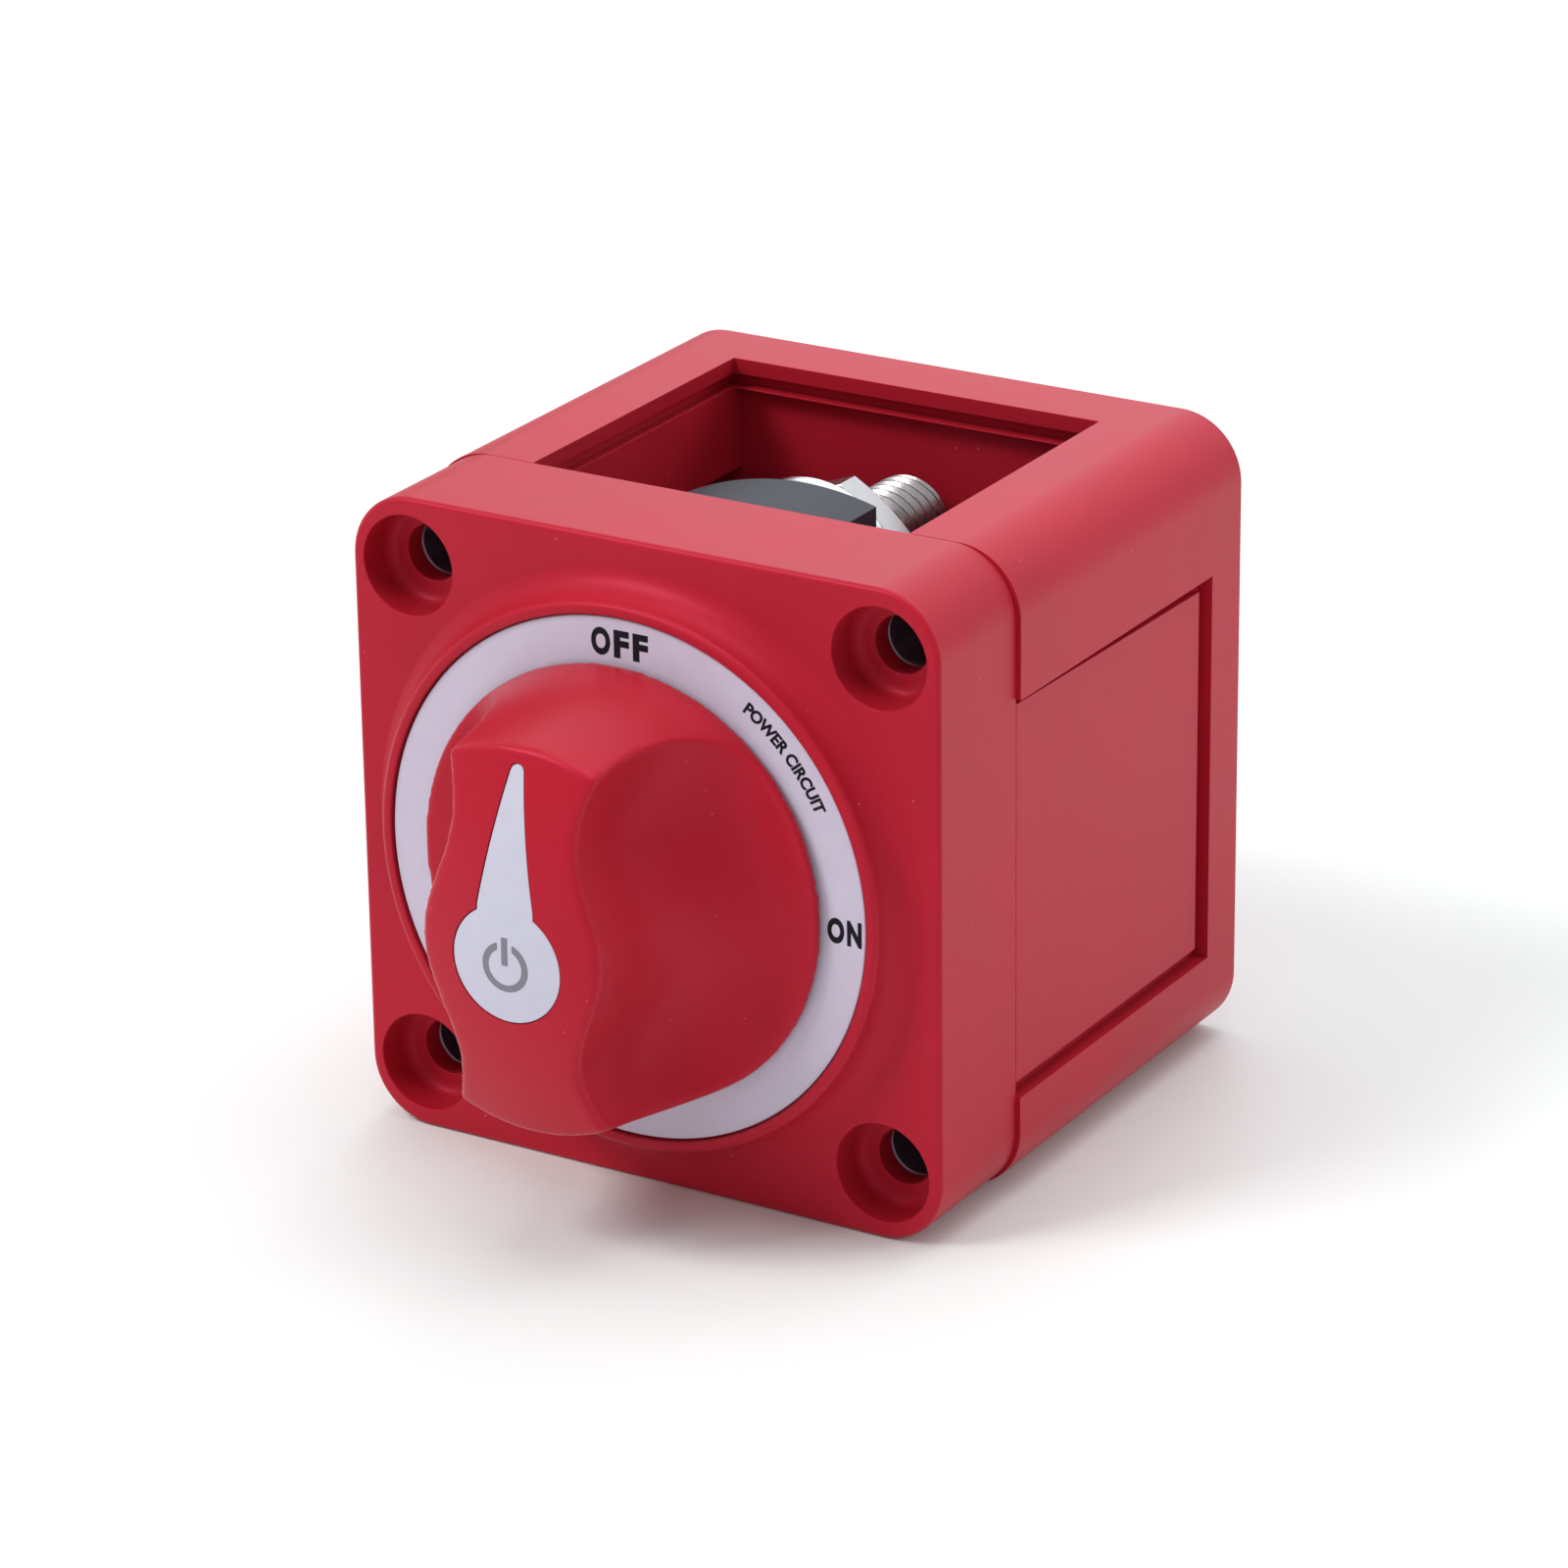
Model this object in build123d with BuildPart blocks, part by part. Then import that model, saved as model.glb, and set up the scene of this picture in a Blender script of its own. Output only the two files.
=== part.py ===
from build123d import *
import os
from math import cos, pi, radians, sin

# Panel-mounted rotary battery switch for two circuits, in millimetres.
# X points right, Z up and Y towards the panel, so the front faces -Y.
# The origin lies on the knob's axis, in the flat back that rests on the panel.
# Heights are measured from that back towards the front.

# Case: a rear cover on a square outline and a front housing a little narrower than it
body_size = 69.0
corner_radius = 7.0
cover_depth = 47.1
housing_depth = 15.3
front_wall = 3.3
side_wall = 3.4
front_edge_round = 0.5
housing_side_step = 0.5

# Four corner holes for the mounting screws
hole_inset = 7.2
hole_radius = 3.0
counterbore_radius = 5.45
counterbore_depth = 4.5
spigot_radius = 4.5
spigot_height = 2.0
sleeve_wall = 0.6
sleeve_fit = 0.05
sleeve_lip = 2.5

# Round dial on the front and its printed ring
boss_inset = 5.2
boss_height = 3.9
boss_foot = 1.7
dial_rim = 1.5
dial_recess = 0.9
label_thickness = 0.5
dial_label_width = 7.2
label_gap = 0.15

# Windows of the rear cover and the panels that close three of them
corner_block = 12.5
back_wall = 6.3
back_skin = 2.8
back_rib = 2.5
back_frame = 14.0
top_window_end = 7.9
side_window_top = 19.2
side_window_bottom = 23.6
lip_thickness = 1.7
groove_width = 1.5
groove_depth = 1.2
panel_gap = 0.35
panel_end_gap = 1.9
panel_low_gap = 1.6
tongue_gap = 0.1

# Knob
knob_radius = 23.0
knob_top_radius = 20.3
knob_rim = 0.8
knob_side_height = 17.6
knob_crown = 4.0
knob_gap = 0.4
grip_mean_half_width = 8.65
grip_wave = 1.55
grip_wave_length = 25.0
hollow_floor = 1.1
hollow_blend_height = 13.0
hollow_blend_width = 10.0
knob_core_half_width = 4.8
knob_core_half_length = 15.5
knob_core_roof = 7.5
knob_hub_radius = 7.0

# Pointer label let into the knob's crowned face
pointer_disc_radius = 6.1
pointer_disc_drop = 1.0
pointer_root_radius = 3.2
pointer_root_height = 4.5
pointer_tip_radius = 0.75
pointer_tip_height = 18.05
pointer_recess = 0.6
pointer_set_back = 0.1
pointer_glue = 0.05
pointer_gap = 0.12

# Knob screw, M4 pan head
screw_radius = 2.0
screw_length = 10.0
screw_head_radius = 3.8
screw_head_height = 2.6
screw_head_depth = 5.4
screw_head_gap = 0.35
screw_slack = 0.05
screw_drive_size = 2.0

# Spindle and its seal
journal_radius = 6.0
running_fit = 0.05
drive_square = 8.0
drive_gap = 0.05
spindle_flange_radius = 7.5
spindle_flange_thickness = 1.1
spindle_end_gap = 0.1
knob_drive_length = 10.5
pivot_radius = 3.0
pivot_length = 6.2
seal_section_radius = 0.6
seal_groove_depth = 1.3
seal_groove_width = 1.8
seal_groove_height = 3.0

# Rotor with its detents
rotor_thickness = 6.7
rotor_top_gap = 0.4
rotor_side_gap = 0.8
detent_plate_thickness = 0.8
detent_plate_bore = 8.0
detent_circle = 17.0
detent_hole_radius = 1.2
ball_radius = 1.5
ball_gap = 0.1
detent_pocket_depth = 4.5
detent_spring_wall = 0.6

# Moving and fixed contacts
contact_gap = 0.1
bridge_thickness = 1.6
bridge_pocket_depth = 1.7
bridge_inner_radius = 12.8
bridge_edge_gap = 1.1
bridge_half_angle = 37.0
bridge_gap = 0.3
contact_spring_radius = 2.6
contact_spring_wall = 0.6
contact_spring_gap = 0.2
contact_spring_angle = 20.0
contact_spring_depth = 3.1
rotor_floor_gap = 0.6
fixed_contact_thickness = 1.4
fixed_contact_pad_radius = 7.5
fixed_contact_reach = 25.0
tip_height = 0.8
tip_start = 10.0
tip_end = 24.0
recess_gap = 0.1

# Terminal base and its screws
base_gap = 0.15
cover_base_gap = 0.1
base_behind_seam = 16.7
post_radius = 3.5
post_inset = 4.1
base_screw_radius = 1.75
base_screw_length = 15.0
base_screw_head_radius = 3.6
base_screw_head_height = 2.4
base_screw_recess = 9.6
base_screw_recess_gap = 0.4
base_screw_bite = 5.0
base_seal_radius = 0.75
base_seal_groove_depth = 1.5
base_seal_groove_width = 1.8
base_seal_inset = 1.5
notch_start = 8.5
notch_width = 5.0
notch_floor = 26.5
notch_height = 15.1

# M10 terminals
stud_radius = 5.0
stud_chamfer = 0.8
stud_end_height = 8.2
stud_hole_gap = 0.1
stud_head_flats = 15.0
stud_head_height = 3.2
washer_radius = 10.5
washer_bore = 5.25
washer_thickness = 2.0
lock_washer_radius = 8.3
lock_washer_thickness = 2.2
lock_washer_slot = 1.2
nut_flats = 16.0
nut_height = 4.4
nut_turns = (9, 41, 5, 27)

# Heights and radii that follow from the sizes above
half = body_size / 2
front_height = cover_depth + housing_depth
hole_spacing = 2 * (half - hole_inset)
spigot_recess_top = cover_depth + spigot_height + base_gap
sleeve_top = front_height - counterbore_depth - sleeve_lip
roof_height = front_height - front_wall
base_radius = half - side_wall - cover_base_gap
pocket_radius = base_radius + base_gap
base_rear_height = cover_depth - base_behind_seam
stud_circle = base_radius - washer_radius
post_circle = base_radius - post_inset

boss_radius = half - boss_inset
boss_top = front_height + boss_height
dial_floor = boss_top - dial_recess
dial_label_radius = boss_radius - dial_rim - label_gap
dial_label_top = dial_floor + label_thickness

knob_base = dial_label_top + knob_gap
knob_shoulder = knob_base + knob_side_height
knob_front = knob_shoulder + knob_crown
hub_socket_top = knob_base + knob_drive_length + 0.2
screw_head_seat = knob_front - screw_head_depth

detent_plate_bottom = roof_height - detent_plate_thickness
rotor_top = detent_plate_bottom - rotor_top_gap
rotor_bottom = rotor_top - rotor_thickness
rotor_radius = post_circle - post_radius - rotor_side_gap
bridge_pocket_roof = rotor_bottom + bridge_pocket_depth
tip_top = rotor_bottom - rotor_floor_gap
base_front = tip_top - tip_height
bridge_bottom = tip_top + contact_gap
bridge_top = bridge_bottom + bridge_thickness
bridge_outer_radius = rotor_radius - bridge_edge_gap
contact_spring_circle = (bridge_inner_radius + bridge_outer_radius) / 2
contact_spring_top = bridge_pocket_roof + contact_spring_depth
head_top = base_front - fixed_contact_thickness
head_bottom = head_top - stud_head_height
flange_top = roof_height - spindle_end_gap
base_screw_seat = base_rear_height + base_screw_recess

window_half = half - corner_block
cavity_half = half - side_wall
lip_inside = half - lip_thickness
off_angles = (135, 315)
stud_angles = (90, 0, 270, 180)


def level(height):
    """Plane parallel to the panel that looks forwards, at a height above the back."""
    return Plane.XZ.offset(height)


def on_circle(radius, angle):
    """Point at a radius and an angle from +X, seen from the front."""
    return (radius * cos(radians(angle)), radius * sin(radians(angle)))


def ring_sector(inner, outer, start, end):
    """Flat sector of a ring between two angles."""
    with BuildSketch() as sector:
        with BuildLine():
            near = CenterArc((0, 0), inner, start, end - start)
            far = CenterArc((0, 0), outer, start, end - start)
            Line(near @ 0, far @ 0)
            Line(near @ 1, far @ 1)
        make_face()
    return sector.sketch


def finish_part(builder, name):
    """Label one sub-part and write it."""
    builder.part.label = name
    export_step(builder.part, f"parts/{name}.step")


os.makedirs("parts", exist_ok=True)


# Front housing: moulded square with a round dial boss, open at the back
with BuildPart() as front_housing:
    with BuildSketch(level(cover_depth)):
        RectangleRounded(body_size - 2 * housing_side_step, body_size, corner_radius)
    extrude(amount=housing_depth)
    fillet(front_housing.faces().sort_by(Axis.Y)[0].edges(), front_edge_round)
    with BuildSketch(level(front_height)):
        Circle(boss_radius + boss_foot)
    with BuildSketch(level(boss_top)):
        Circle(boss_radius)
    loft()
    with BuildSketch(level(dial_floor)):
        Circle(boss_radius - dial_rim)
    extrude(amount=dial_recess, mode=Mode.SUBTRACT)
    with BuildSketch(level(cover_depth)):
        Circle(pocket_radius)
        with PolarLocations(post_circle, 4, start_angle=45):
            Circle(post_radius, mode=Mode.SUBTRACT)
    extrude(amount=roof_height - cover_depth, mode=Mode.SUBTRACT)
    with BuildSketch(level(cover_depth)):
        with PolarLocations(post_circle, 4, start_angle=45):
            Circle(post_radius + base_gap)
    extrude(amount=base_front - cover_depth, mode=Mode.SUBTRACT)
    with BuildSketch(level(base_front)):
        with PolarLocations(post_circle, 4, start_angle=45):
            Circle(base_screw_radius + screw_slack)
    extrude(amount=base_screw_bite + 1, mode=Mode.SUBTRACT)
    with BuildSketch(level(roof_height)):
        Circle(journal_radius + running_fit)
    extrude(amount=dial_floor - roof_height, mode=Mode.SUBTRACT)
    with Locations(level(front_height)):
        with GridLocations(hole_spacing, hole_spacing, 2, 2):
            CounterBoreHole(hole_radius, counterbore_radius, counterbore_depth)
    with BuildSketch(level(cover_depth)):
        with GridLocations(hole_spacing, hole_spacing, 2, 2):
            Circle(spigot_radius + base_gap)
    extrude(amount=spigot_recess_top - cover_depth, mode=Mode.SUBTRACT)
    with BuildSketch(level(spigot_recess_top)):
        with GridLocations(hole_spacing, hole_spacing, 2, 2):
            Circle(hole_radius + sleeve_wall + sleeve_fit)
    extrude(amount=sleeve_top + sleeve_fit - spigot_recess_top, mode=Mode.SUBTRACT)
finish_part(front_housing, "front_housing")


# Hole sleeves: dark steel tubes that take the pressure of the mounting screws
with BuildPart() as hole_sleeves:
    with BuildSketch(level(spigot_recess_top)):
        with GridLocations(hole_spacing, hole_spacing, 2, 2):
            Circle(hole_radius + sleeve_wall)
            Circle(hole_radius, mode=Mode.SUBTRACT)
    extrude(amount=sleeve_top - spigot_recess_top)
finish_part(hole_sleeves, "hole_sleeves")


# Dial label: printed ring stuck to the floor of the dial
with BuildPart() as dial_label:
    with BuildSketch(level(dial_floor)):
        Circle(dial_label_radius)
        Circle(dial_label_radius - dial_label_width, mode=Mode.SUBTRACT)
    extrude(amount=label_thickness)
finish_part(dial_label, "dial_label")


def pointer_outline(growth):
    """Disc with a tapered pointer, grown by a clearance."""
    with BuildSketch() as outline:
        with Locations((0, pointer_root_height)):
            Circle(pointer_root_radius + growth)
        with Locations((0, pointer_tip_height)):
            Circle(pointer_tip_radius + growth)
        make_hull()
        with Locations((0, -pointer_disc_drop)):
            Circle(pointer_disc_radius + growth)
    return outline.sketch


def crowned_profile(depth):
    """Half section of the knob below its crowned face, set back by a depth."""
    with BuildSketch(Plane.XY) as profile:
        with BuildLine():
            crown = TangentArc((0, knob_front - depth), (knob_top_radius, knob_shoulder - depth),
                               tangent=(1, 0))
            Polyline(crown @ 1, (knob_top_radius, knob_base), (0, knob_base), crown @ 0)
        make_face()
    return profile.sketch


# Half sections stand in the XY plane with their height along -Y
section_plane = Plane(origin=(0, 0, 0), x_dir=(1, 0, 0), z_dir=(0, 0, -1))

# Pocket for the pointer label, taken out of the knob below
with BuildPart() as label_pocket:
    with BuildSketch(level(knob_base)):
        add(pointer_outline(pointer_gap))
    extrude(amount=knob_front + 1 - knob_base)
    with BuildSketch(section_plane):
        add(crowned_profile(pointer_recess))
    revolve(axis=Axis.Y, mode=Mode.SUBTRACT)


def grip_half_width(z):
    """Half width of the grip: full in the middle, with a waist for the fingers."""
    return grip_mean_half_width + grip_wave * cos(2 * pi * z / grip_wave_length)


def hollow_section(side, flare):
    """Area beside the grip that a finger hollow takes at one height."""
    reach = knob_radius + 3
    stations = [reach * step / 8 for step in range(-8, 9)]
    with BuildSketch() as section:
        with BuildLine():
            wall = Spline(*[(side * (grip_half_width(z) + flare), z) for z in stations])
            Polyline(wall @ 1, (side * reach, reach), (side * reach, -reach), wall @ 0)
        make_face()
    return section.sketch


# Knob: drafted round body with a crowned face, hollowed for the fingers on both sides
with BuildPart() as knob:
    with BuildSketch(section_plane):
        with BuildLine():
            crown = TangentArc((0, knob_front), (knob_top_radius, knob_shoulder), tangent=(1, 0))
            Polyline(crown @ 1, (knob_radius, knob_base + knob_rim), (knob_radius, knob_base),
                     (0, knob_base), crown @ 0)
        make_face()
    revolve(axis=Axis.Y)
    for side in (-1, 1):
        blend_top = knob_base + hollow_floor + hollow_blend_height
        with BuildSketch(level(blend_top)):
            add(hollow_section(side, 0))
        extrude(amount=knob_front + 1 - blend_top, mode=Mode.SUBTRACT)
        for turn in (0, 22, 44, 62, 77, 90):
            with BuildSketch(level(blend_top - hollow_blend_height * sin(radians(turn)))):
                add(hollow_section(side, hollow_blend_width * (1 - cos(radians(turn)))))
        loft(mode=Mode.SUBTRACT)
    add(label_pocket.part, mode=Mode.SUBTRACT)
    with BuildSketch(level(knob_base)):
        RectangleRounded(2 * knob_core_half_width, 2 * knob_core_half_length, 2)
        Circle(knob_hub_radius, mode=Mode.SUBTRACT)
    extrude(amount=knob_shoulder - knob_core_roof - knob_base, mode=Mode.SUBTRACT)
    with BuildSketch(level(knob_base)):
        Rectangle(drive_square + 2 * drive_gap, drive_square + 2 * drive_gap)
    extrude(amount=hub_socket_top - knob_base, mode=Mode.SUBTRACT)
    with BuildSketch(level(hub_socket_top)):
        Circle(screw_radius + screw_slack)
    extrude(amount=knob_front - hub_socket_top, mode=Mode.SUBTRACT)
    with BuildSketch(level(screw_head_seat)):
        Circle(screw_head_radius + screw_head_gap)
    extrude(amount=screw_head_depth, mode=Mode.SUBTRACT)
finish_part(knob, "knob")


# Pointer label: thin inlay that follows the crowned face
with BuildPart() as pointer_label:
    with BuildSketch(level(knob_shoulder)):
        add(pointer_outline(0))
    extrude(amount=knob_crown + 1)
    with BuildSketch(section_plane):
        add(crowned_profile(pointer_set_back))
    revolve(axis=Axis.Y, mode=Mode.INTERSECT)
    with BuildSketch(section_plane):
        add(crowned_profile(pointer_recess - pointer_glue))
    revolve(axis=Axis.Y, mode=Mode.SUBTRACT)
finish_part(pointer_label, "pointer_label")


# Knob screw: pan head under the pointer label
with BuildPart() as knob_screw:
    with BuildSketch(level(screw_head_seat - screw_length)):
        Circle(screw_radius)
    extrude(amount=screw_length)
    with BuildSketch(level(screw_head_seat)):
        Circle(screw_head_radius)
    extrude(amount=screw_head_height)
    fillet(knob_screw.edges().sort_by(Axis.Y)[0], 0.6)
    with BuildSketch(level(screw_head_seat + screw_head_height - 1.4)):
        Rectangle(2 * screw_drive_size, 0.8)
        Rectangle(0.8, 2 * screw_drive_size)
    extrude(amount=1.4, mode=Mode.SUBTRACT)
finish_part(knob_screw, "knob_screw")


# Spindle: turned shaft with a square for the knob and a square for the rotor
with BuildPart() as spindle:
    with BuildSketch(level(rotor_bottom - pivot_length)):
        Circle(pivot_radius)
    extrude(amount=pivot_length)
    with BuildSketch(level(rotor_bottom)):
        Rectangle(drive_square, drive_square)
    extrude(amount=knob_base + knob_drive_length - rotor_bottom)
    with BuildSketch(level(rotor_top)):
        Circle(spindle_flange_radius)
    extrude(amount=flange_top - rotor_top)
    with BuildSketch(level(flange_top)):
        Circle(journal_radius)
    extrude(amount=knob_base - flange_top)
    with BuildSketch(level(roof_height + seal_groove_height - seal_groove_width / 2)):
        Circle(journal_radius + 1)
        Circle(journal_radius - seal_groove_depth, mode=Mode.SUBTRACT)
    extrude(amount=seal_groove_width, mode=Mode.SUBTRACT)
    with BuildSketch(level(screw_head_seat - screw_length - 0.5)):
        Circle(screw_radius + screw_slack)
    extrude(amount=screw_length, mode=Mode.SUBTRACT)
finish_part(spindle, "spindle")


# Spindle seal: rubber ring in the spindle's groove
with BuildPart() as spindle_seal:
    with BuildSketch(section_plane):
        with Locations((journal_radius - running_fit - seal_section_radius,
                        roof_height + seal_groove_height)):
            Circle(seal_section_radius)
    revolve(axis=Axis.Y)
finish_part(spindle_seal, "spindle_seal")


# Detent plate: pressed steel disc held under the roof by the four posts
with BuildPart() as detent_plate:
    with BuildSketch(level(detent_plate_bottom)):
        Circle(pocket_radius - 0.5)
        Circle(detent_plate_bore, mode=Mode.SUBTRACT)
        with PolarLocations(post_circle, 4, start_angle=45):
            Circle(post_radius + base_gap, mode=Mode.SUBTRACT)
        with PolarLocations(detent_circle, 4):
            Circle(detent_hole_radius, mode=Mode.SUBTRACT)
    extrude(amount=detent_plate_thickness)
finish_part(detent_plate, "detent_plate")


# Rotor: moulded disc that carries the detents in front and the bridges behind
with BuildPart() as rotor:
    with BuildSketch(level(rotor_bottom)):
        Circle(rotor_radius)
        Rectangle(drive_square + 2 * drive_gap, drive_square + 2 * drive_gap, mode=Mode.SUBTRACT)
    extrude(amount=rotor_thickness)
    for middle in off_angles:
        side_angle = bridge_half_angle + 1.5
        with BuildSketch(level(rotor_bottom)):
            add(ring_sector(bridge_inner_radius - bridge_gap, bridge_outer_radius + bridge_gap,
                            middle - side_angle, middle + side_angle))
        extrude(amount=bridge_pocket_depth, mode=Mode.SUBTRACT)
        with BuildSketch(level(bridge_pocket_roof)):
            for turn in (-contact_spring_angle, contact_spring_angle):
                with Locations(on_circle(contact_spring_circle, middle + turn)):
                    Circle(contact_spring_radius + contact_spring_gap)
        extrude(amount=contact_spring_depth, mode=Mode.SUBTRACT)
    with BuildSketch(level(rotor_top - detent_pocket_depth)):
        with PolarLocations(detent_circle, 2):
            Circle(ball_radius + running_fit)
    extrude(amount=detent_pocket_depth, mode=Mode.SUBTRACT)
finish_part(rotor, "rotor")


# Detent balls and the springs that push them at the plate
ball_centre = detent_plate_bottom - ball_gap - ball_radius
with BuildPart() as detent_balls:
    with Locations(level(ball_centre)):
        with PolarLocations(detent_circle, 2):
            Sphere(ball_radius)
finish_part(detent_balls, "detent_balls")

detent_spring_bottom = rotor_top - detent_pocket_depth
detent_spring_inner = ball_radius - detent_spring_wall
detent_spring_top = ball_centre - (ball_radius**2 - detent_spring_inner**2) ** 0.5 - 0.03
with BuildPart() as detent_springs:
    with BuildSketch(level(detent_spring_bottom)):
        with PolarLocations(detent_circle, 2):
            Circle(ball_radius)
            Circle(detent_spring_inner, mode=Mode.SUBTRACT)
    extrude(amount=detent_spring_top - detent_spring_bottom)
finish_part(detent_springs, "detent_springs")


# Contact bridges: one copper sector for each circuit, and their springs
for circuit, middle in zip("ab", off_angles):
    with BuildPart() as contact_bridge:
        with BuildSketch(level(bridge_bottom)):
            add(ring_sector(bridge_inner_radius, bridge_outer_radius,
                            middle - bridge_half_angle, middle + bridge_half_angle))
        extrude(amount=bridge_thickness)
    finish_part(contact_bridge, f"contact_bridge_{circuit}")

with BuildPart() as contact_springs:
    with BuildSketch(level(bridge_top)):
        for middle in off_angles:
            for turn in (-contact_spring_angle, contact_spring_angle):
                with Locations(on_circle(contact_spring_circle, middle + turn)):
                    Circle(contact_spring_radius)
                    Circle(contact_spring_radius - contact_spring_wall, mode=Mode.SUBTRACT)
    extrude(amount=contact_spring_top - bridge_top)
finish_part(contact_springs, "contact_springs")


def contact_plate(angle, turn, growth):
    """Pad over a stud with an arm that reaches towards the circuit's other stud."""
    start, end = sorted((angle, angle + turn * fixed_contact_reach))
    edge = growth * 4
    with BuildSketch() as plate:
        with Locations(on_circle(stud_circle, angle)):
            Circle(fixed_contact_pad_radius + growth)
        add(ring_sector(bridge_inner_radius - growth, bridge_outer_radius + growth,
                        start - edge, end + edge))
    return plate.sketch


# Each circuit joins two neighbouring studs: its name, the stud's angle and the arm's turn
terminals = (("a_in", 90, -1), ("a_out", 0, 1), ("b_in", 270, -1), ("b_out", 180, 1))


# Terminal base: dark moulding that closes the housing and carries the studs
with BuildPart() as terminal_base:
    with BuildSketch(level(base_rear_height)):
        Circle(base_radius)
    extrude(amount=base_front - base_rear_height)
    with BuildSketch(level(base_rear_height)):
        with PolarLocations(0, 4):
            with Locations((notch_start + notch_width / 2, notch_floor + base_radius / 2)):
                Rectangle(notch_width, base_radius)
    extrude(amount=notch_height, mode=Mode.SUBTRACT)
    with BuildSketch(level(base_front - base_seal_inset - base_seal_groove_width / 2)):
        Circle(base_radius + 1)
        Circle(base_radius - base_seal_groove_depth, mode=Mode.SUBTRACT)
    extrude(amount=base_seal_groove_width, mode=Mode.SUBTRACT)
    with BuildSketch(level(base_rear_height)):
        with PolarLocations(stud_circle, 4):
            Circle(stud_radius + stud_hole_gap)
        with PolarLocations(post_circle, 4, start_angle=45):
            Circle(base_screw_radius + 0.4)
    extrude(amount=base_front - base_rear_height, mode=Mode.SUBTRACT)
    with BuildSketch(level(base_rear_height)):
        with PolarLocations(post_circle, 4, start_angle=45):
            Circle(base_screw_head_radius + base_screw_recess_gap)
    extrude(amount=base_screw_recess, mode=Mode.SUBTRACT)
    with BuildSketch(level(head_bottom)):
        with PolarLocations(stud_circle, 4):
            RegularPolygon(stud_head_flats / 2 + recess_gap, 6, major_radius=False)
    extrude(amount=base_front - head_bottom, mode=Mode.SUBTRACT)
    with BuildSketch(level(head_top)):
        for name, angle, turn in terminals:
            add(contact_plate(angle, turn, recess_gap))
    extrude(amount=fixed_contact_thickness, mode=Mode.SUBTRACT)
    with BuildSketch(level(rotor_bottom - pivot_length - 0.3)):
        Circle(pivot_radius + running_fit)
    extrude(amount=pivot_length, mode=Mode.SUBTRACT)
finish_part(terminal_base, "terminal_base")


# Fixed contacts: plated copper, let into the base, each with a raised tip
for name, angle, turn in terminals:
    with BuildPart() as fixed_contact:
        with BuildSketch(level(head_top)):
            add(contact_plate(angle, turn, 0))
        extrude(amount=fixed_contact_thickness)
        with BuildSketch(level(base_front)):
            start, end = sorted((angle + turn * tip_start, angle + turn * tip_end))
            add(ring_sector(bridge_inner_radius + 0.5, bridge_outer_radius - 0.5, start, end))
        extrude(amount=tip_height)
    finish_part(fixed_contact, f"fixed_contact_{name}")


# Base seal: rubber ring between the base and the housing
with BuildPart() as base_seal:
    with BuildSketch(section_plane):
        with Locations((base_radius - base_seal_radius + 0.05, base_front - base_seal_inset)):
            Circle(base_seal_radius)
    revolve(axis=Axis.Y)
finish_part(base_seal, "base_seal")


# Base screws: four self-tapping screws up into the housing's posts
with BuildPart() as base_screws:
    with BuildSketch(level(base_screw_seat)):
        with PolarLocations(post_circle, 4, start_angle=45):
            Circle(base_screw_radius)
    extrude(amount=base_front + base_screw_bite - base_screw_seat)
    with BuildSketch(level(base_screw_seat - base_screw_head_height)):
        with PolarLocations(post_circle, 4, start_angle=45):
            Circle(base_screw_head_radius)
    extrude(amount=base_screw_head_height)
    with BuildSketch(level(base_screw_seat - base_screw_head_height)):
        with PolarLocations(post_circle, 4, start_angle=45):
            Rectangle(4, 0.9)
            Rectangle(0.9, 4)
    extrude(amount=1.2, mode=Mode.SUBTRACT)
finish_part(base_screws, "base_screws")


# Terminal studs: M10 with a hexagonal head locked in the base
with BuildPart() as terminal_studs:
    with BuildSketch(level(stud_end_height)):
        with PolarLocations(stud_circle, 4):
            Circle(stud_radius)
    extrude(amount=head_bottom - stud_end_height)
    chamfer(terminal_studs.faces().group_by(Axis.Y)[-1].edges(), stud_chamfer)
    with BuildSketch(level(head_bottom)):
        with PolarLocations(stud_circle, 4):
            RegularPolygon(stud_head_flats / 2, 6, major_radius=False)
    extrude(amount=stud_head_height)
finish_part(terminal_studs, "terminal_studs")


# Flat washers, split lock washers and nuts, one of each on every stud
flat_washer_bottom = base_rear_height - washer_thickness
with BuildPart() as flat_washers:
    with BuildSketch(level(flat_washer_bottom)):
        with PolarLocations(stud_circle, 4):
            Circle(washer_radius)
            Circle(washer_bore, mode=Mode.SUBTRACT)
    extrude(amount=washer_thickness)
finish_part(flat_washers, "flat_washers")

lock_washer_bottom = flat_washer_bottom - lock_washer_thickness
with BuildPart() as lock_washers:
    with BuildSketch(level(lock_washer_bottom)):
        with PolarLocations(stud_circle, 4, start_angle=90):
            Circle(lock_washer_radius)
            Circle(washer_bore, mode=Mode.SUBTRACT)
            with Locations((-lock_washer_radius, 0)):
                Rectangle(2 * lock_washer_radius, lock_washer_slot, mode=Mode.SUBTRACT)
    extrude(amount=lock_washer_thickness)
finish_part(lock_washers, "lock_washers")

nut_bottom = lock_washer_bottom - nut_height
with BuildPart() as terminal_nuts:
    with BuildSketch(level(nut_bottom)):
        for angle, turn in zip(stud_angles, nut_turns):
            with Locations(on_circle(stud_circle, angle)):
                RegularPolygon(nut_flats / 2, 6, major_radius=False, rotation=90 - turn)
                Circle(stud_radius + 0.05, mode=Mode.SUBTRACT)
    extrude(amount=nut_height)
finish_part(terminal_nuts, "terminal_nuts")


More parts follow.
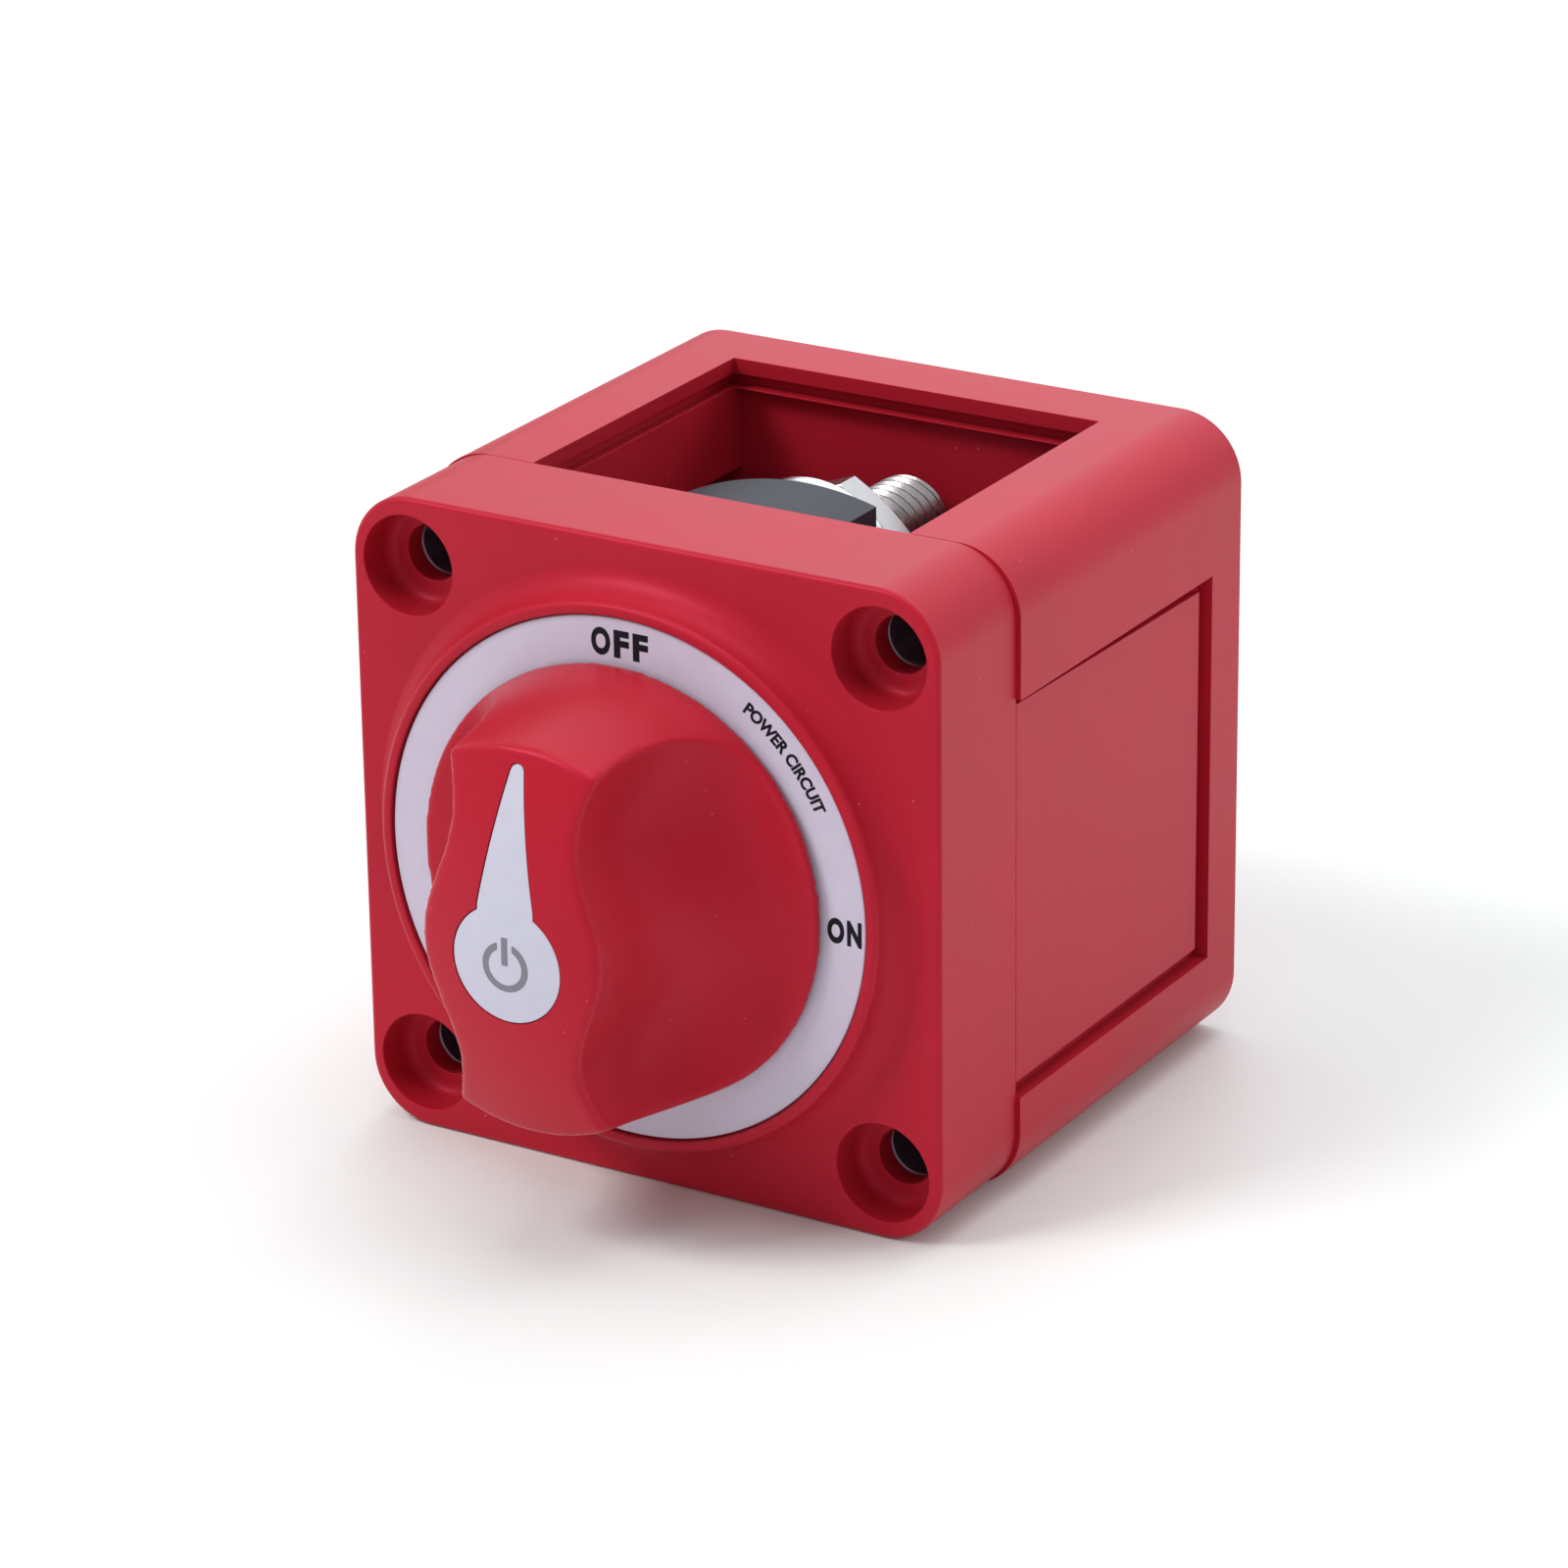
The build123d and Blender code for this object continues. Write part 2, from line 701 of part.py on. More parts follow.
# Rear cover: deep moulding with four corner blocks, a window in each side and a cored back
with BuildPart() as rear_cover:
    with BuildSketch(level(0)):
        RectangleRounded(body_size, body_size, corner_radius)
    extrude(amount=cover_depth)
    with BuildSketch(level(back_wall)):
        Rectangle(2 * cavity_half, 2 * window_half)
        Rectangle(2 * window_half, 2 * cavity_half)
    extrude(amount=cover_depth - back_wall, mode=Mode.SUBTRACT)
    with BuildSketch(level(top_window_end)):
        Rectangle(2 * window_half, body_size + 2)
    extrude(amount=cover_depth - top_window_end, mode=Mode.SUBTRACT)
    with BuildSketch(level(back_wall)):
        with Locations((0, (side_window_top - side_window_bottom) / 2)):
            Rectangle(body_size + 2, side_window_top + side_window_bottom)
    extrude(amount=cover_depth - back_wall, mode=Mode.SUBTRACT)
    groove_middle = lip_inside - groove_width / 2
    with BuildSketch(level(back_wall)):
        for edge in (-groove_middle, groove_middle):
            with Locations((0, edge)):
                Rectangle(2 * (window_half + groove_depth), groove_width)
    extrude(amount=cover_depth - back_wall, mode=Mode.SUBTRACT)
    with BuildSketch(level(back_wall - groove_depth)):
        for edge in (-groove_middle, groove_middle):
            with Locations((edge, (side_window_top - side_window_bottom) / 2)):
                Rectangle(groove_width, side_window_top + side_window_bottom + 2 * groove_depth)
    extrude(amount=cover_depth - back_wall + groove_depth, mode=Mode.SUBTRACT)
    with BuildSketch(level(base_rear_height)):
        Circle(base_radius + cover_base_gap)
    extrude(amount=cover_depth - base_rear_height, mode=Mode.SUBTRACT)
    core_size = (body_size - 2 * back_frame - back_rib) / 2
    with BuildSketch(level(0)):
        with GridLocations(core_size + back_rib, core_size + back_rib, 2, 2):
            RectangleRounded(core_size, core_size, 1.5)
    extrude(amount=back_wall - back_skin, mode=Mode.SUBTRACT)
    with BuildSketch(level(cover_depth)):
        with GridLocations(hole_spacing, hole_spacing, 2, 2):
            Circle(spigot_radius)
    extrude(amount=spigot_height)
    with BuildSketch(level(0)):
        with GridLocations(hole_spacing, hole_spacing, 2, 2):
            Circle(hole_radius)
    extrude(amount=cover_depth + spigot_height, mode=Mode.SUBTRACT)
finish_part(rear_cover, "rear_cover")


# Side panels: a plate flush with the housing, on a tongue that slides in the cover's grooves
tongue_thickness = groove_width - 2 * tongue_gap
bottom_plate_thickness = lip_thickness + tongue_gap
side_plate_thickness = bottom_plate_thickness - housing_side_step
tongue_middle = lip_inside - groove_width / 2
panel_end = back_wall + panel_end_gap
side_panel_top = side_window_top - panel_gap
side_panel_bottom = side_window_bottom - panel_low_gap
with BuildPart() as panel_right:
    with BuildSketch(level(panel_end)):
        with Locations((half - housing_side_step - side_plate_thickness / 2,
                        (side_panel_top - side_panel_bottom) / 2)):
            Rectangle(side_plate_thickness, side_panel_top + side_panel_bottom)
    extrude(amount=cover_depth - panel_end)
    with BuildSketch(level(back_wall - groove_depth + tongue_gap)):
        with Locations((tongue_middle, (side_window_top - side_window_bottom) / 2)):
            Rectangle(tongue_thickness,
                      side_window_top + side_window_bottom + 2 * (groove_depth - tongue_gap))
    extrude(amount=cover_depth - back_wall + groove_depth - tongue_gap)
finish_part(panel_right, "panel_right")

with BuildPart() as panel_left:
    mirror(panel_right.part, about=Plane.YZ)
finish_part(panel_left, "panel_left")

with BuildPart() as panel_bottom:
    with BuildSketch(level(top_window_end + panel_end_gap)):
        with Locations((0, bottom_plate_thickness / 2 - half)):
            Rectangle(2 * (window_half - panel_gap), bottom_plate_thickness)
    extrude(amount=cover_depth - top_window_end - panel_end_gap)
    with BuildSketch(level(back_wall + tongue_gap)):
        with Locations((0, -tongue_middle)):
            Rectangle(2 * (window_half + groove_depth - tongue_gap), tongue_thickness)
    extrude(amount=cover_depth - back_wall - tongue_gap)
finish_part(panel_bottom, "panel_bottom")
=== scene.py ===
from math import cos, pi, radians, sin

import bpy
from mathutils import Matrix, Vector


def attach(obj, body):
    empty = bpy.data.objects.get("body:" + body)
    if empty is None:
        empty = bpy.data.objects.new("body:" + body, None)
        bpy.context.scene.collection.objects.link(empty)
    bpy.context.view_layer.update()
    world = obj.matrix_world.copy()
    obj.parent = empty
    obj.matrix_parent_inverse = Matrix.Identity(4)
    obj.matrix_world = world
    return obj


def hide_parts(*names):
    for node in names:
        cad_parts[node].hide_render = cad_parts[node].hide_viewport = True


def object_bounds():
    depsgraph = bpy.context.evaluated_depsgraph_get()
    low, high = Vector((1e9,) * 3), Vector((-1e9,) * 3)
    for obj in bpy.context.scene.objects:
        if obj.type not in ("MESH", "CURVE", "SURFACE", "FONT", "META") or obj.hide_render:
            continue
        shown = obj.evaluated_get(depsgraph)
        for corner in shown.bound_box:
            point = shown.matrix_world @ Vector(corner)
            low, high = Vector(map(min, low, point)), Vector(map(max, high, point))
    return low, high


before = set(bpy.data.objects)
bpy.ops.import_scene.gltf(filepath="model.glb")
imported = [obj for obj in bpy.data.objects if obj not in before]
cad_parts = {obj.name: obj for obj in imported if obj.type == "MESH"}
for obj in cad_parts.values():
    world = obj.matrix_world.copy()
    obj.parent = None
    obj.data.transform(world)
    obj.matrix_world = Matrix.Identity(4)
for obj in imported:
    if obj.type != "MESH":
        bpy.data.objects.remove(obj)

cad_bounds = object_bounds()
scene = bpy.context.scene
cad = {node: bpy.data.objects[node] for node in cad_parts}


# ---------------------------------------------------------------------------
# Studio: a pale table top without an edge, a plain bright surround and four
# soft lights: a wide one overhead, one low behind, one at the right and a key at
# the front left.
# ---------------------------------------------------------------------------
table_height = cad_bounds[0][2]
bpy.ops.object.select_all(action="DESELECT")
bpy.ops.mesh.primitive_plane_add(size=8, location=(0, 0, table_height))
table = bpy.context.object
table.name = "table_top"
table_paint = bpy.data.materials.new("table_paint")
table_paint.use_nodes = True
paint_shader = table_paint.node_tree.nodes["Principled BSDF"]
paint_shader.inputs["Base Color"].default_value = (0.79, 0.80, 0.79, 1)
paint_shader.inputs["Roughness"].default_value = 0.6
paint_shader.inputs["Specular IOR Level"].default_value = 0.2
table.data.materials.append(table_paint)

scene.view_settings.view_transform = "Standard"
surround = bpy.data.worlds.new("surround")
surround.use_nodes = True
surround_shader = surround.node_tree.nodes["Background"]
surround_shader.inputs["Color"].default_value = (0.94, 0.98, 1, 1)
surround_shader.inputs["Strength"].default_value = 0.57
scene.world = surround


def soft_light(name, place, target, size, power):
    """Square softbox at a place, turned towards a target."""
    bpy.ops.object.light_add(type="AREA", location=place)
    lamp = bpy.context.object
    lamp.name = name
    lamp.data.size = size
    lamp.data.energy = power
    aim = Vector(target) - Vector(place)
    lamp.rotation_euler = aim.to_track_quat("-Z", "Y").to_euler()
    return lamp


soft_light("overhead_softbox", (0.1, 0.3, 3.0), (0, -0.03, 0), 2.0, 36.0)
rear_softbox = soft_light("rear_softbox", (-0.20, 1.90, 0.95), (0, -0.03, 0.03), 2.4,
                          19.0)
rear_softbox.data.color = (0.85, 0.93, 1.0)
soft_light("side_softbox", (1.60, 1.00, 0.90), (0, -0.03, 0), 0.8, 7.0)
soft_light("key_softbox", (-0.90, -1.10, 1.60), (0, -0.05, 0), 0.7, 23.0)


# ---------------------------------------------------------------------------
# Camera: a long lens to the front right of the switch, looking down at it.
# ---------------------------------------------------------------------------
camera_place = Vector((0.3170, -0.5588, 0.2446))
azimuth, elevation, roll = radians(31.19), radians(21.82), radians(-0.76)
bpy.ops.object.camera_add()
camera = bpy.context.object
camera.data.lens = 146.6
camera.data.sensor_width = 36
camera.data.clip_end = 20
camera.matrix_world = (Matrix.Translation(camera_place)
                       @ Matrix.Rotation(azimuth, 4, "Z")
                       @ Matrix.Rotation(pi / 2 - elevation, 4, "X")
                       @ Matrix.Rotation(roll, 4, "Z"))
scene.camera = camera


# ---------------------------------------------------------------------------
# Front housing: the red square moulding that the knob turns in. It is injection
# moulded in glass-filled nylon, with a round dial boss and a counterbored hole
# in each corner, and it is open at the back for the terminal base.
# ---------------------------------------------------------------------------
outline = 0.0345
housing_side = 0.0340
corner_round = 0.007
front_edge_round, seam_edge_round = 0.0006, 0.00012
front_face = -0.0624
seam = -0.0471
hole_offset = 0.0273
hole_radius = 0.0030
cup_depth, cup_radius, cup_floor_round = 0.0045, 0.0053, 0.0013
cup_rim_round = 0.00025
sleeve_bore, sleeve_front = 0.00365, -0.0554
spigot_bore, spigot_front = 0.0046, -0.0493
before_hole, behind_hole, hole_cutter = -0.064, -0.046, 0.0056
dial_floor = -0.0654
dial_radius = 0.02785
boss_rim = 0.0293
boss_top = -0.0663
boss_wall = boss_rim - 0.0002
boss_rear, boss_reach = -0.0600, 0.0330
rim_round, foot_round, dial_round = 0.0006, 0.0032, 0.0002
spindle_bore = 0.00605
pocket_radius = 0.03115
pocket_roof = -0.0591
post_circle, post_radius, post_end = 0.0269, 0.0035, -0.0498


def only(piece):
    """Make a piece active and the only one selected."""
    bpy.ops.object.select_all(action="DESELECT")
    bpy.context.view_layer.objects.active = piece
    piece.select_set(True)


def pick(piece, element, choose):
    """Enter edit mode with just the vertices, edges or faces that a test chooses."""
    kinds = {"vertices": "VERT", "edges": "EDGE", "polygons": "FACE"}
    bpy.ops.object.mode_set(mode="EDIT")
    bpy.ops.mesh.select_mode(type=kinds[element])
    bpy.ops.mesh.select_all(action="DESELECT")
    bpy.ops.object.mode_set(mode="OBJECT")
    mesh = piece.data
    for item in getattr(mesh, element):
        if element == "vertices":
            item.select = choose(item.co)
        elif element == "edges":
            item.select = choose(*(mesh.vertices[i].co for i in item.vertices))
        else:
            item.select = choose(item.center, item.normal)
    bpy.ops.object.mode_set(mode="EDIT")


def along_y(a, b):
    """Whether an edge between two places runs along Y."""
    return abs(a.x - b.x) < 1e-5 and abs(a.z - b.z) < 1e-5


def bevel_where(piece, choose, width, segments):
    """Bevel the edges that a test chooses by their two ends."""
    pick(piece, "edges", choose)
    bpy.ops.mesh.bevel(offset=width, segments=segments, affect="EDGES")
    bpy.ops.object.mode_set(mode="OBJECT")


def block(name, low, high):
    """Cube between two corners, left selected and in object mode."""
    middle = [(a + b) / 2 for a, b in zip(low, high)]
    bpy.ops.object.select_all(action="DESELECT")
    bpy.ops.mesh.primitive_cube_add(size=1, location=middle)
    piece = bpy.context.object
    piece.name = piece.data.name = name
    piece.scale = [b - a for a, b in zip(low, high)]
    bpy.ops.object.transform_apply(location=True, rotation=True, scale=True)
    return piece


def arc(centre, radius, start, end, steps):
    """Points of an arc in a lathe section, angles in degrees from the radius axis."""
    turns = [radians(start + (end - start) * step / steps) for step in range(steps + 1)]
    return [(centre[0] + radius * cos(turn), centre[1] + radius * sin(turn))
            for turn in turns]


def single_point(name, place):
    """New piece of one vertex, left in edit mode and selected."""
    bpy.ops.object.select_all(action="DESELECT")
    bpy.ops.mesh.primitive_plane_add(size=0.001, location=place)
    piece = bpy.context.object
    piece.name = piece.data.name = name
    bpy.ops.object.transform_apply(location=True, rotation=True, scale=True)
    bpy.ops.object.mode_set(mode="EDIT")
    bpy.ops.mesh.select_mode(type="VERT")
    bpy.ops.mesh.select_all(action="SELECT")
    bpy.ops.mesh.merge(type="CENTER")
    return piece


def turned(name, section, centre=(0, 0), steps=96, closed=False):
    """Lathe a section of (radius, y) points about a line along Y through (x, z)."""
    piece = single_point(name, (centre[0], 0, centre[1]))
    bpy.ops.transform.translate(value=(section[0][0], section[0][1], 0))
    ring = section[1:] + section[:1] if closed else section[1:]
    here = section[0]
    for point in ring:
        move = (point[0] - here[0], point[1] - here[1], 0)
        bpy.ops.mesh.extrude_vertices_move(TRANSFORM_OT_translate={"value": move})
        here = point
    bpy.ops.mesh.select_all(action="SELECT")
    bpy.ops.mesh.remove_doubles(threshold=1e-7)
    bpy.ops.mesh.spin(steps=steps, angle=2 * pi, center=(centre[0], 0, centre[1]),
                      axis=(0, 1, 0))
    bpy.ops.mesh.select_all(action="SELECT")
    bpy.ops.mesh.remove_doubles(threshold=1e-6)
    bpy.ops.mesh.normals_make_consistent(inside=False)
    bpy.ops.object.mode_set(mode="OBJECT")
    return piece


def trim(piece, tool, how="DIFFERENCE"):
    """Cut, join or intersect a piece with a tool, which is used up."""
    only(piece)
    step = piece.modifiers.new("trim", "BOOLEAN")
    step.operation = how
    step.solver = "EXACT"
    step.object = tool
    bpy.ops.object.modifier_apply(modifier=step.name)
    bpy.data.objects.remove(tool)
    bpy.ops.object.mode_set(mode="EDIT")
    bpy.ops.mesh.select_mode(type="VERT")
    bpy.ops.mesh.select_all(action="SELECT")
    bpy.ops.mesh.remove_doubles(threshold=2e-6)
    bpy.ops.mesh.dissolve_degenerate(threshold=2e-6)
    bpy.ops.object.mode_set(mode="OBJECT")


def round_edges(piece, radius, angle=35, segments=2):
    """Round every edge sharper than an angle and shade the faces cleanly."""
    only(piece)
    step = piece.modifiers.new("edge", "BEVEL")
    step.width = radius
    step.segments = segments
    step.limit_method = "ANGLE"
    step.angle_limit = radians(angle)
    bpy.ops.object.modifier_apply(modifier=step.name)
    shade(piece)


def shade(piece):
    """Smooth shading with normals weighted towards the large faces."""
    only(piece)
    bpy.ops.object.shade_smooth_by_angle(angle=radians(40))
    step = piece.modifiers.new("normals", "WEIGHTED_NORMAL")
    step.keep_sharp = True
    bpy.ops.object.modifier_apply(modifier=step.name)


housing = block("housing_shell", (-housing_side, front_face, -outline),
                (housing_side, seam, outline))
bevel_where(housing, along_y, corner_round, 16)
bevel_where(housing, lambda a, b: max(a.y, b.y) < front_face + 1e-5, front_edge_round, 4)
bevel_where(housing, lambda a, b: min(a.y, b.y) > seam - 1e-5, seam_edge_round, 2)

boss_foot = arc((boss_wall + foot_round, front_face - foot_round + 0.00005), foot_round,
                82, 180, 12)
boss_shoulder = arc((boss_wall - rim_round, boss_top + rim_round), rim_round, 0, -90, 5)
dial_edge = arc((dial_radius + dial_round, boss_top + dial_round), dial_round, -90, -180, 2)
boss = turned("boss", [(0, boss_rear), (boss_reach, boss_rear),
                       (boss_reach, front_face + 0.0004)]
              + boss_foot + boss_shoulder + dial_edge
              + [(dial_radius, dial_floor), (0, dial_floor)], steps=160)
trim(housing, boss, "UNION")
trim(housing, turned("bore", [(0, -0.07), (spindle_bore, -0.07), (spindle_bore, -0.055),
                              (0, -0.055)]))
pocket = turned("pocket", [(0, pocket_roof), (pocket_radius, pocket_roof),
                           (pocket_radius, -0.040), (0, -0.040)], steps=160)
for angle in (45, 135, 225, 315):
    post = (post_circle * cos(radians(angle)), post_circle * sin(radians(angle)))
    trim(pocket, turned("post", [(0, -0.060), (post_radius, -0.060),
                                 (post_radius, post_end), (0, post_end)], post, 48))
trim(housing, pocket)
cup_outer = cup_radius + cup_rim_round
cup_rim = arc((cup_outer, front_face + 0.00020), cup_rim_round, -90, -180, 4)
cup_floor = arc((cup_radius - cup_floor_round, front_face + cup_depth - cup_floor_round),
                cup_floor_round, 0, 90, 8)
hole_section = (
    [(0, before_hole), (hole_cutter, before_hole), (hole_cutter, front_face - 0.0001)]
    + cup_rim + cup_floor
    + [(hole_radius + 0.0001, front_face + cup_depth),
       (hole_radius, front_face + cup_depth + 0.0001), (hole_radius, sleeve_front),
       (sleeve_bore, sleeve_front), (sleeve_bore, spigot_front),
       (spigot_bore, spigot_front), (spigot_bore, behind_hole), (0, behind_hole)])
for x in (-hole_offset, hole_offset):
    for z in (-hole_offset, hole_offset):
        trim(housing, turned("hole", hole_section, (x, z), 64))
shade(housing)


def new_paint(name):
    """Material with its node tree, its shader and its object coordinates."""
    paint = bpy.data.materials.new(name)
    paint.use_nodes = True
    tree = paint.node_tree
    place = tree.nodes.new("ShaderNodeTexCoord").outputs["Object"]
    return paint, tree, tree.nodes["Principled BSDF"], place


def noise(tree, place, scale, detail=2):
    """Noise from 0 to 1 over a place."""
    node = tree.nodes.new("ShaderNodeTexNoise")
    node.inputs["Scale"].default_value = scale
    node.inputs["Detail"].default_value = detail
    tree.links.new(place, node.inputs["Vector"])
    return node.outputs["Fac"]


def two_tones(tree, value, low, high, dark, light):
    """Colour that runs from dark to light as a value runs from low to high."""
    node = tree.nodes.new("ShaderNodeValToRGB")
    first, last = node.color_ramp.elements
    first.position, last.position = low, high
    first.color, last.color = (*dark, 1), (*light, 1)
    tree.links.new(value, node.inputs["Fac"])
    return node.outputs["Color"]


def ranged(tree, value, start, end, source=(0, 1)):
    """A value brought from a source range into the range from start to end."""
    node = tree.nodes.new("ShaderNodeMapRange")
    for key, number in zip(("From Min", "From Max", "To Min", "To Max"),
                           (*source, start, end)):
        node.inputs[key].default_value = number
    tree.links.new(value, node.inputs["Value"])
    return node.outputs["Result"]


def bump(tree, value, strength, distance, under=None):
    """Bump from a value, laid over another bump where there is one."""
    node = tree.nodes.new("ShaderNodeBump")
    node.inputs["Strength"].default_value = strength
    node.inputs["Distance"].default_value = distance
    tree.links.new(value, node.inputs["Height"])
    if under is not None:
        tree.links.new(under, node.inputs["Normal"])
    return node.outputs["Normal"]


def moulded_plastic(name, colour, drift, gloss, reflection=(1, 1, 1), dust=0.0):
    """Moulded plastic with a fine grain, a slow drift in colour and gloss, and dust."""
    paint, tree, shader, place = new_paint(name)
    shader.inputs["Specular Tint"].default_value = (*reflection, 1)
    flow = noise(tree, place, 55, 4)
    shown = two_tones(tree, flow, 0.3, 0.7, [value * (1 - drift) for value in colour],
                      [value * (1 + drift) for value in colour])
    if dust:
        specks = tree.nodes.new("ShaderNodeTexVoronoi")
        specks.inputs["Scale"].default_value = 330
        tree.links.new(place, specks.inputs["Vector"])
        spot = ranged(tree, specks.outputs["Distance"], dust, 0, source=(0.022, 0.045))
        dusted = tree.nodes.new("ShaderNodeMix")
        dusted.data_type = "RGBA"
        factor, clean, speckled = (dusted.inputs[socket] for socket in (0, 6, 7))
        speckled.default_value = (0.62, 0.40, 0.42, 1)
        tree.links.new(spot, factor)
        tree.links.new(shown, clean)
        shown = dusted.outputs[2]
    tree.links.new(shown, shader.inputs["Base Color"])
    tree.links.new(ranged(tree, flow, gloss - 0.04, gloss + 0.05),
                   shader.inputs["Roughness"])
    ripple = bump(tree, noise(tree, place, 170), 0.12, 0.00005)
    grain = bump(tree, noise(tree, place, 3200), 0.22, 0.00001, ripple)
    tree.links.new(grain, shader.inputs["Normal"])
    return paint


def dress(piece, paint, body, slot, *nodes):
    """Give a piece its material and say what it rides on and stands for."""
    piece.data.materials.clear()
    piece.data.materials.append(paint)
    if nodes:
        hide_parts(*nodes)
    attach(piece, body)


red_reflection = (1.0, 0.15, 0.28)
red_nylon = moulded_plastic("red_nylon", (0.425, 0.0125, 0.026), 0.06, 0.42,
                            red_reflection, 0.3)
dress(housing, red_nylon, "case", "red_plastic", "front_housing")


# ---------------------------------------------------------------------------
# Rear cover: the deep red moulding behind the housing. It has a block in each
# corner for the mounting screws, an open cable window at the top, a grooved
# window for a panel in each other side, and a cored back.
# ---------------------------------------------------------------------------
window_half = 0.022
cavity_half = 0.0311
back_wall = -0.0063
top_window_rear = -0.0079
back_skin = -0.0035
base_rear = -0.0304
groove_outer, groove_inner, groove_depth = 0.0328, 0.0313, 0.0012
side_window_low, side_window_high = -0.0236, 0.0192
core_middle, core_half, core_round = 0.010875, 0.009625, 0.0015
spigot_radius, spigot_round = 0.0045, 0.0002
back_hole_mouth = 0.0036
past_side, past_front = 0.04, -0.08

cover = block("rear_cover_shell", (-outline, seam, -outline), (outline, 0, outline))
bevel_where(cover, along_y, corner_round, 16)
for name, low, high in (
        ("cavity_wide", (-cavity_half, past_front, -window_half),
         (cavity_half, back_wall, window_half)),
        ("cavity_tall", (-window_half, past_front, -cavity_half),
         (window_half, back_wall, cavity_half)),
        ("top_window", (-window_half, past_front, -past_side),
         (window_half, top_window_rear, past_side)),
        ("side_window", (-past_side, past_front, side_window_low),
         (past_side, back_wall, side_window_high))):
    trim(cover, block(name, low, high))
for low, high in ((groove_inner, groove_outer), (-groove_outer, -groove_inner)):
    trim(cover, block("long_groove", (-window_half - groove_depth, past_front, low),
                      (window_half + groove_depth, back_wall, high)))
    trim(cover, block("side_groove", (low, past_front, side_window_low - groove_depth),
                      (high, back_wall + groove_depth, side_window_high + groove_depth)))
trim(cover, turned("base_relief", [(0, past_front), (cavity_half, past_front),
                                   (cavity_half, base_rear), (0, base_rear)], steps=160))
for x in (-core_middle, core_middle):
    for z in (-core_middle, core_middle):
        core = block("back_core", (x - core_half, back_skin, z - core_half),
                     (x + core_half, 0.001, z + core_half))
        bevel_where(core, along_y, core_round, 6)
        trim(cover, core)
spigot_section = [(0, -0.044), (spigot_radius, -0.044), (spigot_radius, -0.0489),
                  (spigot_radius - spigot_round, -0.0491), (0, -0.0491)]
through_section = [(0, -0.06), (hole_radius, -0.06), (hole_radius, -0.0006),
                   (back_hole_mouth, 0.0001), (back_hole_mouth, 0.001), (0, 0.001)]
for x in (-hole_offset, hole_offset):
    for z in (-hole_offset, hole_offset):
        trim(cover, turned("spigot", spigot_section, (x, z), 48), "UNION")
        trim(cover, turned("through_hole", through_section, (x, z), 48))
round_edges(cover, 0.00028, 40, 2)
dress(cover, red_nylon, "case", "red_plastic", "rear_cover")


# ---------------------------------------------------------------------------
# Side and bottom panels: red plates that slide down the cover's grooves on a
# thinner tongue. A switch is wired through the sides that have none.
# ---------------------------------------------------------------------------
panel_taper = 0.0007
panel_inside = 0.0327
tongue_inside, tongue_outside = 0.0314, 0.0328
side_plate_rear, side_plate_low, side_plate_high = -0.0082, -0.0220, 0.01875
side_tongue_rear, side_tongue_low, side_tongue_high = -0.0052, -0.0247, 0.0203
low_plate_rear, low_plate_half = -0.0098, 0.02165
low_tongue_rear, low_tongue_half = -0.0064, 0.0231


def panel(name, plate, tongue, node):
    """Plate, slightly narrower at its rear, with a tongue, each given as two corners."""
    piece = block(name, *plate)
    pick(piece, "vertices", lambda place: place.y > seam + 0.001 and place.z > 0)
    bpy.ops.transform.translate(value=(0, 0, -panel_taper))
    bpy.ops.object.mode_set(mode="OBJECT")
    trim(piece, block("tongue", *tongue), "UNION")
    round_edges(piece, 0.00022, 40, 2)
    dress(piece, red_nylon, "case", "red_plastic", node)


panel("side_panel_right",
      ((panel_inside, seam, side_plate_low),
       (housing_side, side_plate_rear, side_plate_high)),
      ((tongue_inside, seam, side_tongue_low),
       (tongue_outside, side_tongue_rear, side_tongue_high)), "panel_right")
panel("side_panel_left",
      ((-housing_side, seam, side_plate_low),
       (-panel_inside, side_plate_rear, side_plate_high)),
      ((-tongue_outside, seam, side_tongue_low),
       (-tongue_inside, side_tongue_rear, side_tongue_high)), "panel_left")
panel("bottom_panel",
      ((-low_plate_half, seam, -outline), (low_plate_half, low_plate_rear, -panel_inside)),
      ((-low_tongue_half, seam, -tongue_outside),
       (low_tongue_half, low_tongue_rear, -tongue_inside)), "panel_bottom")


# ---------------------------------------------------------------------------
# Dial label: a flat white plastic ring, printed with the switch positions in
# dark ink and glued in the shallow recess of the dial boss.
# ---------------------------------------------------------------------------
label_inner, label_outer = 0.02045, 0.02765
label_top = -0.0659
label_edge = 0.00008
ink_low, ink_high = label_top + 0.00002, label_top - 0.00003

dial_label = turned("dial_label_ring", [
    (label_inner, dial_floor), (label_outer, dial_floor),
    (label_outer, label_top + label_edge), (label_outer - label_edge, label_top),
    (label_inner + label_edge, label_top), (label_inner, label_top + label_edge)],
    steps=160, closed=True)
shade(dial_label)


def printed_plastic(name, colour, shade_by, gloss, glare=0.5):
    """Smooth printed plastic with a faint mottle in its colour and gloss."""
    paint, tree, shader, place = new_paint(name)
    shader.inputs["Specular IOR Level"].default_value = glare
    mottle = noise(tree, place, 420, 3)
    shown = two_tones(tree, mottle, 0.25, 0.75, [value * shade_by for value in colour],
                      colour)
    tree.links.new(shown, shader.inputs["Base Color"])
    tree.links.new(ranged(tree, mottle, gloss - 0.05, gloss + 0.05),
                   shader.inputs["Roughness"])
    tree.links.new(bump(tree, mottle, 0.1, 0.00001), shader.inputs["Normal"])
    return paint


label_white = printed_plastic("label_white", (0.60, 0.54, 0.67), 0.95, 0.45)
dress(dial_label, label_white, "case", "dial_print", "dial_label")


